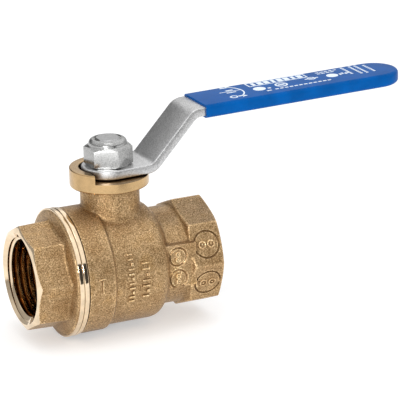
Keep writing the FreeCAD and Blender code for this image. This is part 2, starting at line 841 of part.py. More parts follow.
def build_handle_nut():
    """Lock nut: hexagon with turned chamfers and a crimped collar round its nylon ring."""
    body = new_body("handle_nut")
    seat = s.lever_base + s.plate
    top = seat + s.nut_height
    hexagon = new_sketch(body, "nut_hexagon", "XY_Plane", seat)
    regular(hexagon, 6, s.nut_flats, s.nut_turn - 90)
    raised(body, "nut_blank", hexagon, s.nut_height)
    corner = s.nut_blank_radius
    shoulder = seat + s.nut_shoulder
    shape = new_sketch(body, "nut_crown_section", "XZ_Plane")
    outline(shape, [
        (s.nut_collar_radius, shoulder),
        (corner, shoulder - (corner - s.nut_collar_radius) * s.nut_chamfer_slope),
        (corner, top + s.overrun),
        (s.nut_lip_radius, top + s.overrun),
        (s.nut_lip_radius, top),
        (s.nut_collar_radius, top - s.nut_lip_drop),
    ])
    turned_away(body, "nut_crown", shape, "V_Axis")
    foot = new_sketch(body, "nut_foot_section", "XZ_Plane")
    outline(foot, [
        (s.nut_flats / 2, seat),
        (corner, seat),
        (corner, seat + (corner - s.nut_flats / 2) * s.nut_chamfer_slope),
    ])
    turned_away(body, "nut_foot", foot, "V_Axis")
    bore = new_sketch(body, "nut_bore_section", "XZ_Plane")
    ledge = seat + s.insert_bottom
    outline(bore, [
        (ZERO, seat - s.overrun),
        (s.nut_bore_radius + s.nut_lead + s.overrun, seat - s.overrun),
        (s.nut_bore_radius, seat + s.nut_lead),
        (s.nut_bore_radius, ledge),
        (s.insert_radius, ledge),
        (s.insert_radius, ledge + s.insert_height),
        (s.nut_bore_radius + s.nut_lead, ledge + s.insert_height),
        (s.nut_bore_radius + s.nut_lead, top + s.overrun),
        (ZERO, top + s.overrun),
    ])
    turned_away(body, "nut_bore", bore, "V_Axis")

    upright_ring("nut_insert", s.nut_bore_radius, s.insert_radius, ledge, ledge + s.insert_height)
    return body


def check_and_write():
    """Refuse any failed object, then write one file for each sub-part."""
    doc.recompute()
    for thing in doc.Objects:
        if "Invalid" in thing.State or "Error" in thing.State:
            raise RuntimeError(f"{thing.Label} failed: {thing.State}")
    os.makedirs("parts", exist_ok=True)
    for part in SUBPARTS:
        shape = part.Shape
        if shape.isNull() or not shape.isValid() or len(shape.Solids) != 1:
            raise RuntimeError(f"{part.Label} is not one valid solid")
        shape.exportStep(f"parts/{part.Label}.step")
        box = shape.BoundBox
        print(f"{part.Label:22} {shape.Volume:10.1f} mm3  x {box.XMin:.2f}..{box.XMax:.2f}"
              f"  y {box.YMin:.2f}..{box.YMax:.2f}  z {box.ZMin:.2f}..{box.ZMax:.2f}")


build_valve_body()
build_end_cap()
build_body_seal_ring()
build_ball()
build_seat("inlet_seat", -1)
build_seat("outlet_seat", 1)
build_stem()
build_thrust_washer()
build_stem_o_ring()
build_packing()
build_gland()
build_lever()
build_grip_sleeve()
build_handle_nut()
check_and_write()
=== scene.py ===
"""Looks of a two-piece brass ball valve, modelled round its CAD frame.

The forged pieces are made the way the real ones are: a soft-edged forging first, then the
turned faces, sockets and threads cut into it. Lengths are in metres; MM turns a drawing size in
millimetres into one. X is the pipe axis, Z the stem, and the lever lies along +X when open.
"""

from contextlib import contextmanager
import json
import math

import bpy
from bpy.props import FloatProperty, FloatVectorProperty, IntProperty, PointerProperty
from mathutils import Matrix, Vector


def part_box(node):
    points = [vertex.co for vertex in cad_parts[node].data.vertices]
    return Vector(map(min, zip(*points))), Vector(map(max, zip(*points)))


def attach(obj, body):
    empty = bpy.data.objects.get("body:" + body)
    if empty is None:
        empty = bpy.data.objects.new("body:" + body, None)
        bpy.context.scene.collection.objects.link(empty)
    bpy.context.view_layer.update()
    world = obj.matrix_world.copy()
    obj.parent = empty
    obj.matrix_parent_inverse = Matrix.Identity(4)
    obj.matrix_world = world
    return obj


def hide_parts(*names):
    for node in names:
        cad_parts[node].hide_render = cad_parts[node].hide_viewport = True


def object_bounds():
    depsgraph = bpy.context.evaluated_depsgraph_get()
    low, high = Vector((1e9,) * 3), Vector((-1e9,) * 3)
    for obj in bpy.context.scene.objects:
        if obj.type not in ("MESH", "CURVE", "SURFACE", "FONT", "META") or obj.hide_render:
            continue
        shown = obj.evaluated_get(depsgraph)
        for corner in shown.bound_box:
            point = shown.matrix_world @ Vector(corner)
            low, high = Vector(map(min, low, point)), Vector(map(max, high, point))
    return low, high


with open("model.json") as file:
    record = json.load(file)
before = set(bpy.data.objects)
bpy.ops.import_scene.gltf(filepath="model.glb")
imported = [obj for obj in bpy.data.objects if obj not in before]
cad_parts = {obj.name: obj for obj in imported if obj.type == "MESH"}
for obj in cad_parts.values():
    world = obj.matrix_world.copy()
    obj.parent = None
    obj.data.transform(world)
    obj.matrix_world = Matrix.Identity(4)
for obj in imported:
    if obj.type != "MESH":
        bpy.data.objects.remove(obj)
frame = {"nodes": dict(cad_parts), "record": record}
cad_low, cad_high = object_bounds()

bl_info = {
    "name": "Ball Valve Builder",
    "version": (1, 0, 0),
    "blender": (4, 5, 0),
    "location": "View3D > Sidebar > Ball Valve",
    "description": "Builds a brass ball valve with its lever, grip and lock nut",
    "category": "Object",
}

MM = 0.001
ROUND = math.tau
WHITE = (1, 1, 1)

# Sizes of the hidden ways, in millimetres, as in the CAD
PORT_RADIUS = 9.6
SEAT_POCKET_RADIUS = 12.85
SEAT_BACK = 12.4
CAVITY_RADIUS = 15.3
CAVITY_END = 7.6
SPIGOT_RADIUS = 17.0
SPIGOT_END = -9.3
THREAD_BACK = 16.0
STEM_STEPS = ((10, 6.6), (18, 5.05), (20.6, 7.0), (25.8, 7.4))  # pocket, shaft, packing, gland
NUT_THREAD_RADIUS = 4.02
NUT_INSERT_RADIUS = 4.32
LEVER_HOLE_RADIUS = 4.65
LEVER_HOLE_FLATS = 6.7
TIP_PLAY = 0.03  # keeps the lever's tip inside the CAD's box
LARGE_STAMP = 4.15
SMALL_STAMP = 2.8
# Rows of raised bars on the barrel: place along the pipe, half height, first and last angle, count
BAR_ROWS = ((-1.42, 0.95, 25, -21, 11), (3.25, 1.25, 15, -18, 7))
THREAD_TAPER = 32  # length in which the thread's radius shrinks by one
CHAMFER_INSET = 0.9
OVERRUN = 1.0
SAME_PLACE = 1e-6  # metres

LIGHT_DISTANCE = 0.6  # metres
KEY_SIDE = Vector((-0.60, -0.76, 0.22))
TOP_SIDE = Vector((-0.13, -0.17, 0.97))
OCTAGON_HALF_STEP = math.radians(22.5)


def corner_low(node):
    """Lowest corner of a CAD node, in millimetres."""
    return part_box(node)[0] / MM


def corner_high(node):
    """Highest corner of a CAD node, in millimetres."""
    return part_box(node)[1] / MM


# ---------------------------------------------------------------- settings

def length(name, description, millimetres):
    """Length setting, stated in millimetres and shown in scene units."""
    return FloatProperty(
        name=name, description=description, default=millimetres * MM, unit="LENGTH", precision=5
    )


def angle(name, description, degrees):
    """Angle setting, stated in degrees."""
    return FloatProperty(
        name=name, description=description, default=math.radians(degrees), unit="ROTATION"
    )


def colour(name, description, values):
    """Colour setting."""
    return FloatVectorProperty(
        name=name, description=description, default=values, subtype="COLOR", min=0, max=1, size=3
    )


class ForgingSettings(bpy.types.PropertyGroup):
    """Sizes of the forged body and end cap."""

    grain: length("Forging mesh", "Edge length of the forged surface's mesh", 0.36)
    fillets: IntProperty(
        name="Fillets", description="Passes that fill the roots of neck and collar", default=16
    )
    soften: IntProperty(
        name="Softening", description="Passes that round the sharper forged edges", default=2
    )
    ring_radius: length("Ring radius", "Radius of the two turned rings", 19.9)
    ring_width: length("Ring width", "Width of each turned ring", 1.5)
    barrel_radius: length("Barrel radius", "Radius beside the rings", 19.5)
    barrel_end: length("Barrel end", "Where the barrel steps down", -7.0)
    waist_radius: length("Waist radius", "Radius round the ball", 18.4)
    waist_start: length("Waist start", "Foot of the step", -6.4)
    waist_end: length("Waist end", "Where the shoulder begins", 8.4)
    shoulder: length("Shoulder", "Rounding of the shoulder", 4.0)
    collar_radius: length("Collar radius", "Radius between shoulder and octagon", 15.1)
    body_flats: length("Body flats", "Across the flats of the body's octagon", 31.8)
    body_octagon: length("Octagon start", "Where the body's octagon is full", 20.4)
    pad_reach: length("Pad reach", "Distance of the flat pad from the axis", 15.6)
    pad_top: length("Pad top", "Upper edge of the pad", 7.7)
    pad_bottom: length("Pad bottom", "Lower edge of the pad", -5.9)
    cap_front_flats: length("Cap flats, front", "Across the flats at the cap's mouth", 30.3)
    cap_back_flats: length("Cap flats, back", "Across the flats at the cap's flange", 31.0)
    cap_turn: angle("Cap turn", "How far the cap's octagon is turned about the pipe", -4.5)
    neck_radius: length("Neck radius", "Radius of the neck", 9.1)
    flange_bottom: length("Flange bottom", "Underside of the stop flange", 25.6)
    flange_radius: length("Flange radius", "Outside of the stop flange", 12.1)
    flange_floor: length("Flange floor", "Floor on which the lever turns", 28.7)
    stop_inner: length("Stop inner radius", "Inside of the stop wall", 9.2)
    stop_face: length("Stop face", "Distance of the stop faces from the stem", 8.2)
    thread_minor: length("Thread minor radius", "Crest radius of the pipe thread", 11.95)
    thread_major: length("Thread major radius", "Root radius of the pipe thread", 13.25)
    thread_pitch: length("Thread pitch", "Pitch of the pipe thread", 1.814)
    mouth_radius: length("Mouth radius", "Radius of the chamfered mouth", 14.15)


class LeverSettings(bpy.types.PropertyGroup):
    """Sizes of the lever, its grip and the lock nut."""

    plate: length("Plate", "Thickness of the lever", 2.8)
    half_width: length("Half width", "Half the width of the lever", 7.6)
    first_bend: length("First bend", "Distance of the first bend from the stem", 12.4)
    bend_run: length("Bend run", "Distance between the two bends along the pipe", 14.3)
    bend_rise: length("Bend rise", "Height between the two bends", 15.25)
    bend_radius: length("Bend radius", "Inside radius of the bends", 3.0)
    tilt: angle("Grip tilt", "Upward slope of the grip", 0.98)
    edge_rounding: length("Edge rounding", "Rounding of the stamped edges", 0.45)
    sleeve_wall: length("Sleeve wall", "Thickness of the dipped sleeve", 0.7)
    sleeve_rounding: length("Sleeve rounding", "Rounding of the sleeve's long edges", 1.25)
    nut_flats: length("Nut flats", "Across the flats of the lock nut", 13.0)
    nut_turn: angle("Nut turn", "How far the nut is turned", 2.75)
    nut_collar: length("Nut collar", "Radius of the crimped collar", 5.9)
    print_height: length("Print height", "How far the printed marks stand proud", 0.03)


class FinishSettings(bpy.types.PropertyGroup):
    """Colours of the finishes."""

    blasted: colour("Blasted brass", "Grit-blasted forging", (0.44, 0.288, 0.141))
    turned: colour("Turned brass", "Faces cut on the lathe", (0.86, 0.68, 0.47))
    flange: colour("Flange brass", "Satin brass of the stop flange", (0.56, 0.375, 0.185))
    steel: colour("Lever steel", "Satin plate of the lever", (0.57, 0.57, 0.57))
    bright: colour("Bright plate", "Plate of the lock nut", (0.40, 0.40, 0.395))
    vinyl: colour("Vinyl", "Dipped sleeve", (0.0, 0.085, 0.33))
    marks: colour("Print", "Printed marks", (0.78, 0.86, 0.95))
    chrome: colour("Chrome", "Plated ball", (0.82, 0.83, 0.85))
    seal: colour("Seals", "Waxy white seals", (0.86, 0.86, 0.83))
    rubber: colour("Rubber", "Rubber ring", (0.02, 0.02, 0.02))
    nylon: colour("Nylon", "Locking ring of the nut", (0.80, 0.80, 0.77))


class StageSettings(bpy.types.PropertyGroup):
    """Camera, floor and light."""

    azimuth: angle("Azimuth", "Side from which the camera looks", -24.25)
    elevation: angle("Elevation", "Height from which the camera looks", 17.93)
    roll: angle("Roll", "How far the camera leans", -1.73)
    distance: length("Distance", "From the camera to the ball's centre, along the view", 819.7)
    aim_right: length("Aim right", "Middle of the picture, right of the ball's centre", 26.84)
    aim_up: length("Aim up", "Middle of the picture, above the ball's centre", 19.22)
    lens: FloatProperty(name="Lens", description="Focal length in millimetres", default=240.2)
    sky: FloatProperty(name="Sky", description="Strength of the white surround", default=1.0)
    ceiling: FloatProperty(name="Ceiling", description="Strength of the bright ceiling", default=1.25)
    key: FloatProperty(name="Key light", description="Power of the key light in watts", default=1.4)
    top: FloatProperty(name="Top light", description="Power of the light overhead in watts", default=0.4)
    glow: FloatProperty(name="Table glow", description="Light given off by the light table", default=0.40)
    floor: colour("Floor", "Pale floor", (0.66, 0.66, 0.66))


# ---------------------------------------------------------------- modelling helpers

def only(piece):
    """Select one piece and nothing else."""
    bpy.ops.object.select_all(action="DESELECT")
    piece.select_set(True)
    bpy.context.view_layer.objects.active = piece


@contextmanager
def editing():
    """Work on the active piece in edit mode."""
    bpy.ops.object.mode_set(mode="EDIT")
    yield
    bpy.ops.object.mode_set(mode="OBJECT")


def modify(piece, kind, **settings):
    """Apply a modifier with these settings."""
    only(piece)
    modifier = piece.modifiers.new(kind.lower(), kind)
    for key, value in settings.items():
        setattr(modifier, key, value)
    bpy.ops.object.modifier_apply(modifier=modifier.name)


def chain(name, points, closed=False):
    """Line through points in millimetres, drawn by extruding one vertex; closed, it is a face."""
    places = [Vector(p) * MM for p in points]
    bpy.ops.object.select_all(action="DESELECT")
    bpy.ops.mesh.primitive_plane_add(size=MM)
    piece = bpy.context.object
    piece.name = piece.data.name = name
    with editing():
        bpy.ops.mesh.select_mode(type="VERT")
        bpy.ops.mesh.merge(type="CENTER")
        bpy.ops.transform.translate(value=places[0])
        for before, here in zip(places, places[1:]):
            bpy.ops.mesh.extrude_vertices_move(TRANSFORM_OT_translate={"value": here - before})
        if closed:
            bpy.ops.mesh.select_all(action="SELECT")
            bpy.ops.mesh.edge_face_add()
    return piece


def tidy_mesh(piece):
    """Merge doubles and point every face outwards."""
    only(piece)
    with editing():
        bpy.ops.mesh.select_all(action="SELECT")
        bpy.ops.mesh.remove_doubles(threshold=SAME_PLACE)
        bpy.ops.mesh.normals_make_consistent(inside=False)


def eased(corners, pieces=6):
    """Outline whose corners (a, b, radius) are rounded; a corner (a, b) stays sharp."""
    points = []
    for number, corner in enumerate(corners):
        here = Vector(corner[:2])
        if len(corner) == 2:
            points.append(here)
            continue
        before = (Vector(corners[number - 1][:2]) - here).normalized()
        after = (Vector(corners[(number + 1) % len(corners)][:2]) - here).normalized()
        half = before.angle(after) / 2
        centre = here + (before + after).normalized() * corner[2] / math.sin(half)
        start = here + before * corner[2] / math.tan(half) - centre
        finish = here + after * corner[2] / math.tan(half) - centre
        for step in range(pieces + 1):
            turn = start.lerp(finish, step / pieces).normalized() * corner[2]
            points.append(centre + turn)
    return points


def lathed(name, outline, steps=160, upright=False):
    """Turn an outline of (along, radius) points about the pipe axis, or the stem if upright."""
    points = [(r, 0, a) if upright else (a, 0, r) for a, r in outline]
    piece = chain(name, points)
    axis = (0, 0, 1) if upright else (1, 0, 0)
    with editing():
        bpy.ops.mesh.select_all(action="SELECT")
        bpy.ops.mesh.spin(steps=steps, angle=ROUND, center=(0, 0, 0), axis=axis)
    tidy_mesh(piece)
    return piece


def stepped(steps, end):
    """Outline of a stepped round bar from its (start, radius) steps, closed on its axis."""
    ends = [start for start, _ in steps[1:]] + [end]
    outline = [(steps[0][0], 0)]
    for (start, radius), finish in zip(steps, ends):
        outline += [(start, radius), (finish, radius)]
    return outline + [(end, 0)]


def solid_disc(name, start, finish, radius, upright=False):
    """Closed round bar between two places on its axis."""
    return lathed(name, stepped([(start, radius)], finish), upright=upright)


def prism(name, sides, flats, start, finish, turn=0.0, finish_flats=None, upright=False):
    """Regular prism on the pipe axis or the stem, from its width across flats; it may taper."""
    corner = MM / 2 / math.cos(math.pi / sides)
    middle = (start + finish) / 2 * MM
    bpy.ops.object.select_all(action="DESELECT")
    bpy.ops.mesh.primitive_cone_add(
        vertices=sides, radius1=flats * corner, radius2=(finish_flats or flats) * corner,
        depth=(finish - start) * MM, location=(0, 0, middle) if upright else (middle, 0, 0),
        rotation=(0, 0, 0) if upright else (0, math.pi / 2, 0),
    )
    piece = bpy.context.object
    piece.name = name
    bpy.ops.object.transform_apply(location=True, rotation=True, scale=True)
    move(piece, Matrix.Rotation(turn, 4, "Z" if upright else "X"))
    return piece


def block(name, low, high, rounding=0.0):
    """Box between two corners in millimetres, with rounded edges if asked."""
    low, high = Vector(low), Vector(high)
    bpy.ops.object.select_all(action="DESELECT")
    bpy.ops.mesh.primitive_cube_add(size=1, location=(low + high) / 2 * MM)
    piece = bpy.context.object
    piece.name = name
    piece.scale = (high - low) * MM
    bpy.ops.object.transform_apply(location=True, rotation=True, scale=True)
    if rounding:
        soften_edges(piece, rounding, 2)
    return piece


def soften_edges(piece, width, segments, limit=30):
    """Bevel every edge sharper than the limit."""
    modify(
        piece, "BEVEL", width=width * MM, segments=segments,
        limit_method="ANGLE", angle_limit=math.radians(limit), harden_normals=False,
    )


def combine(piece, tool, operation):
    """Boolean with another solid, which is used up; raises if nothing changes."""
    before = len(piece.data.vertices)
    modify(piece, "BOOLEAN", operation=operation, solver="MANIFOLD", object=tool)
    if len(piece.data.vertices) == before:
        raise RuntimeError(f"{tool.name} changes nothing on {piece.name}")
    bpy.data.objects.remove(tool)


def add(piece, tool):
    """Fuse a solid to the piece."""
    combine(piece, tool, "UNION")


def cut(piece, tool):
    """Cut a solid out of the piece."""
    combine(piece, tool, "DIFFERENCE")


def keep(piece, tool):
    """Keep only what lies inside the tool."""
    combine(piece, tool, "INTERSECT")


def move(piece, matrix):
    """Move a piece's mesh, leaving its object at the origin."""
    piece.data.transform(matrix)


def join(name, pieces):
    """Join pieces into one mesh."""
    only(pieces[0])
    for piece in pieces:
        piece.select_set(True)
    bpy.ops.object.join()
    bpy.context.object.name = name
    return bpy.context.object


def forge(piece, grain, passes):
    """Give a sharp solid the soft edges and even mesh of a forging."""
    modify(piece, "REMESH", mode="VOXEL", voxel_size=grain)
    modify(piece, "SMOOTH", factor=0.5, iterations=passes)


def shade(piece, limit=32):
    """Smooth shading with creases kept where the surface turns sharply."""
    only(piece)
    bpy.ops.object.shade_smooth_by_angle(angle=math.radians(limit))


def pipe_thread(name, mouth, s, turns):
    """Tapered helical cutter for the pipe thread, from just outside the mouth inwards."""
    pitch = s.thread_pitch / MM
    minor = s.thread_minor / MM - 0.05
    major = s.thread_major / MM
    start = mouth - 0.6 * pitch
    profile = [(0, minor), (0.1, minor), (0.44, major), (0.56, major), (0.9, minor), (1, minor)]
    points = [(start + share * pitch, 0, radius) for share, radius in profile]
    piece = chain(name, points)
    modify(
        piece, "SCREW", axis="X", angle=ROUND, screw_offset=s.thread_pitch, iterations=turns,
        steps=128, render_steps=128, use_merge_vertices=True, merge_threshold=SAME_PLACE,
    )
    with editing():
        bpy.ops.mesh.select_all(action="SELECT")
        bpy.ops.mesh.remove_doubles(threshold=SAME_PLACE)
        bpy.ops.mesh.fill_holes(sides=0)
    for face in piece.data.polygons:
        face.select = len(face.vertices) > 4
    with editing():
        bpy.ops.mesh.poke()
        bpy.ops.mesh.select_all(action="SELECT")
        bpy.ops.mesh.normals_make_consistent(inside=False)
    for vertex in piece.data.vertices:
        depth = vertex.co.x - mouth * MM
        shrink = 1 - depth / THREAD_TAPER / s.thread_major
        vertex.co.y *= shrink
        vertex.co.z *= shrink
    return piece


def coat(piece, material):
    """Give the whole piece one material."""
    piece.data.materials.clear()
    piece.data.materials.append(material)


def finish_by_place(piece, materials, choose):
    """Give each face the material whose number the rule picks from its middle and normal."""
    piece.data.materials.clear()
    for material in materials:
        piece.data.materials.append(material)
    for face in piece.data.polygons:
        face.material_index = choose(face.center / MM, face.normal)


# ---------------------------------------------------------------- finishes

def shader_of(material):
    """The material's main shader."""
    return next(n for n in material.node_tree.nodes if n.type == "BSDF_PRINCIPLED")


def new_material(name):
    """Empty node material with its shader, and millimetre coordinates to pattern it by."""
    material = bpy.data.materials.new(name)
    material.use_nodes = True
    tree = material.node_tree
    place = tree.nodes.new("ShaderNodeTexCoord")
    scale = tree.nodes.new("ShaderNodeMapping")
    scale.inputs["Scale"].default_value = (1 / MM,) * 3
    tree.links.new(place.outputs["Object"], scale.inputs["Vector"])
    return material, tree, shader_of(material), scale.outputs["Vector"]


def noise(tree, vector, scale, detail=2.0, roughness=0.5):
    """Noise at so many features to the millimetre."""
    node = tree.nodes.new("ShaderNodeTexNoise")
    node.inputs["Scale"].default_value = scale
    node.inputs["Detail"].default_value = detail
    node.inputs["Roughness"].default_value = roughness
    tree.links.new(vector, node.inputs["Vector"])
    return node.outputs["Fac"]


def ramp(tree, value, stops):
    """Colour ramp of (place, colour) stops."""
    node = tree.nodes.new("ShaderNodeValToRGB")
    while len(node.color_ramp.elements) < len(stops):
        node.color_ramp.elements.new(0.5)
    for element, (place, tint) in zip(node.color_ramp.elements, stops):
        element.position = place
        element.color = (*tint, 1) if len(tint) == 3 else tint
    tree.links.new(value, node.inputs["Fac"])
    return node.outputs["Color"]


def multiplied(tree, first, second):
    """Product of two colours."""
    node = tree.nodes.new("ShaderNodeMix")
    node.data_type = "RGBA"
    node.blend_type = "MULTIPLY"
    node.inputs["Factor"].default_value = 1.0
    tree.links.new(first, node.inputs["A"])
    tree.links.new(second, node.inputs["B"])
    return node.outputs["Result"]


def spread(tree, value, low, high):
    """Value from 0..1 spread over another range."""
    node = tree.nodes.new("ShaderNodeMapRange")
    node.inputs["To Min"].default_value = low
    node.inputs["To Max"].default_value = high
    tree.links.new(value, node.inputs["Value"])
    return node.outputs["Result"]


def bump(tree, shader, height, strength, depth, before=None):
    """Bump of a given depth in millimetres, on top of an earlier one."""
    node = tree.nodes.new("ShaderNodeBump")
    node.inputs["Strength"].default_value = strength
    node.inputs["Distance"].default_value = depth * MM
    tree.links.new(height, node.inputs["Height"])
    if before is not None:
        tree.links.new(before, node.inputs["Normal"])
    tree.links.new(node.outputs["Normal"], shader.inputs["Normal"])
    return node.outputs["Normal"]


def grey(level):
    """Neutral colour of a given brightness."""
    return (level,) * 3


def tinted(tint, factor):
    """Colour made lighter or darker."""
    return tuple(min(1.0, part * factor) for part in tint)


def painted_nook_shade(tree, tint, reach, stops):
    """Colour darkened by painted shade in the nooks that lie within reach, in millimetres, of another
    surface.
    """
    nook = tree.nodes.new("ShaderNodeAmbientOcclusion")
    nook.samples = 8
    nook.inputs["Distance"].default_value = reach * MM
    return multiplied(tree, tint, ramp(tree, nook.outputs["AO"], stops))


def blasted_brass(tint):
    """Grit-blasted forging: fine bright and dark grain over slow, cloudy tarnish, with painted highlights
    on sharp edges and painted shade in creases and nooks.
    """
    material, tree, shader, place = new_material("blasted_brass")
    grain = noise(tree, place, 2.7, 3.0, 0.85)
    clouds = noise(tree, place, 0.16, 3.0, 0.55)
    warm = (tint[0] * 0.36, tint[1] * 0.31, tint[2] * 0.24)
    pale = (tint[0] * 1.95, tint[1] * 2.15, tint[2] * 2.6)
    fine = ramp(tree, grain, [
        (0.36, warm), (0.47, tinted(tint, 0.78)), (0.55, tinted(tint, 1.2)), (0.66, pale),
    ])
    slow = ramp(tree, clouds, [(0.30, (0.80, 0.74, 0.66)), (0.55, WHITE), (0.75, (1.0, 0.93, 0.78))])
    shape = tree.nodes.new("ShaderNodeNewGeometry")
    # Painted light: sharp edges are made brighter as a painted highlight, and creases darker as painted
    # shade
    edge_highlight_and_crease_shade = ramp(tree, shape.outputs["Pointiness"], [
        (0.42, (0.32, 0.25, 0.17)), (0.483, (0.92, 0.90, 0.88)), (0.508, WHITE), (0.56, (1.9, 2.0, 2.2)),
    ])
    grain_with_painted_light = multiplied(tree, multiplied(tree, fine, slow), edge_highlight_and_crease_shade)
    # Painted shade in the nooks near other surfaces, such as the neck under the stop flange
    stops = [(0.28, (0.26, 0.19, 0.12)), (0.58, (0.78, 0.74, 0.68)), (0.82, WHITE)]
    tree.links.new(painted_nook_shade(tree, grain_with_painted_light, 4.0, stops), shader.inputs["Base Color"])
    shader.inputs["Metallic"].default_value = 0.85
    tree.links.new(spread(tree, grain, 0.55, 0.32), shader.inputs["Roughness"])
    pits = bump(tree, shader, grain, 0.8, 0.09)
    bump(tree, shader, noise(tree, place, 0.9, 3.0), 0.25, 0.12, pits)
    return material


def turned_brass(tint, upright):
    """Lathe-cut brass: fine grooves that run round the axis."""
    name = "cut_brass_flange" if upright else "cut_brass"
    material, tree, shader, place = new_material(name)
    split = tree.nodes.new("ShaderNodeSeparateXYZ")
    tree.links.new(place, split.inputs["Vector"])
    across = ("X", "Y") if upright else ("Y", "Z")
    flat = tree.nodes.new("ShaderNodeCombineXYZ")
    for socket, part in zip(("X", "Y"), across):
        tree.links.new(split.outputs[part], flat.inputs[socket])
    radius = tree.nodes.new("ShaderNodeVectorMath")
    radius.operation = "LENGTH"
    tree.links.new(flat.outputs["Vector"], radius.inputs[0])
    total = tree.nodes.new("ShaderNodeMath")
    total.operation = "ADD"
    tree.links.new(split.outputs["Z" if upright else "X"], total.inputs[0])
    tree.links.new(radius.outputs["Value"], total.inputs[1])
    lines = tree.nodes.new("ShaderNodeTexNoise")
    lines.noise_dimensions = "1D"
    lines.inputs["Scale"].default_value = 5.0
    lines.inputs["Detail"].default_value = 3.0
    tree.links.new(total.outputs["Value"], lines.inputs["W"])
    stain = noise(tree, place, 0.35, 3.0, 0.6)
    tone = ramp(tree, stain, [(0.3, tinted(tint, 0.82)), (0.6, tint), (0.8, tinted(tint, 1.05))])
    # Painted shade in the seams, grooves and other nooks near another surface
    stops = [(0.30, (0.20, 0.12, 0.05)), (0.60, (0.66, 0.56, 0.42)), (0.85, WHITE)]
    tree.links.new(painted_nook_shade(tree, tone, 1.6, stops), shader.inputs["Base Color"])
    shader.inputs["Metallic"].default_value = 1.0
    smooth, rough = (0.18, 0.32) if upright else (0.05, 0.12)
    tree.links.new(spread(tree, lines.outputs["Fac"], smooth, rough), shader.inputs["Roughness"])
    bump(tree, shader, lines.outputs["Fac"], 0.2, 0.008)
    return material


def plated_steel(name, tint, smooth, rough):
    """Zinc-plated steel: cloudy satin with a faint grain."""
    material, tree, shader, place = new_material(name)
    clouds = noise(tree, place, 0.5, 4.0, 0.6)
    grain = noise(tree, place, 2.6, 2.0, 0.7)
    tone = ramp(tree, clouds, [(0.3, tinted(tint, 0.90)), (0.55, tint), (0.75, tinted(tint, 1.06))])
    specks = ramp(tree, grain, [(0.34, grey(0.74)), (0.5, WHITE), (0.66, grey(1.22))])
    tree.links.new(multiplied(tree, tone, specks), shader.inputs["Base Color"])
    shader.inputs["Metallic"].default_value = 1.0
    tree.links.new(spread(tree, grain, smooth, rough), shader.inputs["Roughness"])
    pits = bump(tree, shader, grain, 0.25, 0.03)
    bump(tree, shader, clouds, 0.08, 0.06, pits)
    return material


def dipped_vinyl(tint):
    """Glossy dipped plastic with a faint orange peel."""
    material, tree, shader, place = new_material("dipped_vinyl")
    clouds = noise(tree, place, 0.2, 3.0)
    tone = ramp(tree, clouds, [(0.3, tinted(tint, 0.88)), (0.7, tinted(tint, 1.12))])
    tree.links.new(tone, shader.inputs["Base Color"])
    shader.inputs["Roughness"].default_value = 0.28
    shader.inputs["Specular IOR Level"].default_value = 0.05
    peel = bump(tree, shader, noise(tree, place, 1.4, 2.0), 0.10, 0.03)
    bump(tree, shader, noise(tree, place, 0.25, 2.0), 0.12, 0.12, peel)
    return material


def plain_finish(name, tint, roughness, metallic=0.0, mottle=0.08, scale=1.0):
    """Simple moulded or plated finish with a little mottling."""
    material, tree, shader, place = new_material(name)
    cloud = noise(tree, place, scale, 3.0)
    tone = ramp(tree, cloud, [(0.3, tinted(tint, 1 - mottle)), (0.7, tinted(tint, 1 + mottle))])
    tree.links.new(tone, shader.inputs["Base Color"])
    shader.inputs["Metallic"].default_value = metallic
    tree.links.new(spread(tree, cloud, roughness * 0.85, roughness * 1.15), shader.inputs["Roughness"])
    bump(tree, shader, noise(tree, place, scale * 4, 2.0), 0.06, 0.02)
    return material


def finish(name):
    """Finish by name, made once and shared; no name here is also a CAD material's."""
    if name in bpy.data.materials:
        return bpy.data.materials[name]
    c = bpy.context.scene.valve_finishes
    makers = {
        "blasted_brass": lambda: blasted_brass(tuple(c.blasted)),
        "cut_brass": lambda: turned_brass(tuple(c.turned), False),
        "cut_brass_flange": lambda: turned_brass(tuple(c.flange), True),
        "satin_steel": lambda: plated_steel("satin_steel", tuple(c.steel), 0.30, 0.44),
        "bright_plate": lambda: plated_steel("bright_plate", tuple(c.bright), 0.20, 0.32),
        "stem_plate": lambda: plated_steel("stem_plate", tinted(tuple(c.steel), 0.75), 0.42, 0.55),
        "dipped_vinyl": lambda: dipped_vinyl(tuple(c.vinyl)),
        "print": lambda: plain_finish("print", tuple(c.marks), 0.5),
        "chrome": lambda: plain_finish("chrome", tuple(c.chrome), 0.06, 1.0, 0.02),
        "seal": lambda: plain_finish("seal", tuple(c.seal), 0.4),
        "rubber": lambda: plain_finish("rubber", tuple(c.rubber), 0.6),
        "nylon": lambda: plain_finish("nylon", tuple(c.nylon), 0.4),
    }
    return makers[name]()


# ---------------------------------------------------------------- forged pieces

def on_barrel(along, at, radius):
    """Frame on a round surface: x along the pipe, y round it, z outwards."""
    out = Vector((0, -math.cos(at), math.sin(at)))
    side = out.cross(Vector((1, 0, 0)))
    frame_axes = Matrix((Vector((1, 0, 0)), side, out)).transposed().to_4x4()
    return Matrix.Translation((Vector((along, 0, 0)) + out * radius) * MM) @ frame_axes


def wire_ring(radius, thickness, steps, sides):
    """Ring of round wire about the origin."""
    bpy.ops.object.select_all(action="DESELECT")
    bpy.ops.mesh.primitive_torus_add(
        major_radius=radius * MM, minor_radius=thickness * MM,
        major_segments=steps, minor_segments=sides,
    )
    return bpy.context.object


def stamp_tools(size, centre_marks):
    """Ring-shaped groove cutter and raised centre marks of a round stamp, about the origin."""
    marks = []
    for along, across, radius in centre_marks:
        ring = wire_ring(radius, 0.3, 36, 8)
        dot = block("stamp_dot", (-0.25, -0.25, -0.3), (0.25, 0.25, 0.3), 0.1)
        move(ring, Matrix.Translation(Vector((along, across, 0.02)) * MM))
        move(dot, Matrix.Translation(Vector((along, across, 0)) * MM))
        marks += [ring, dot]
    return wire_ring(size, 0.34, 72, 10), marks


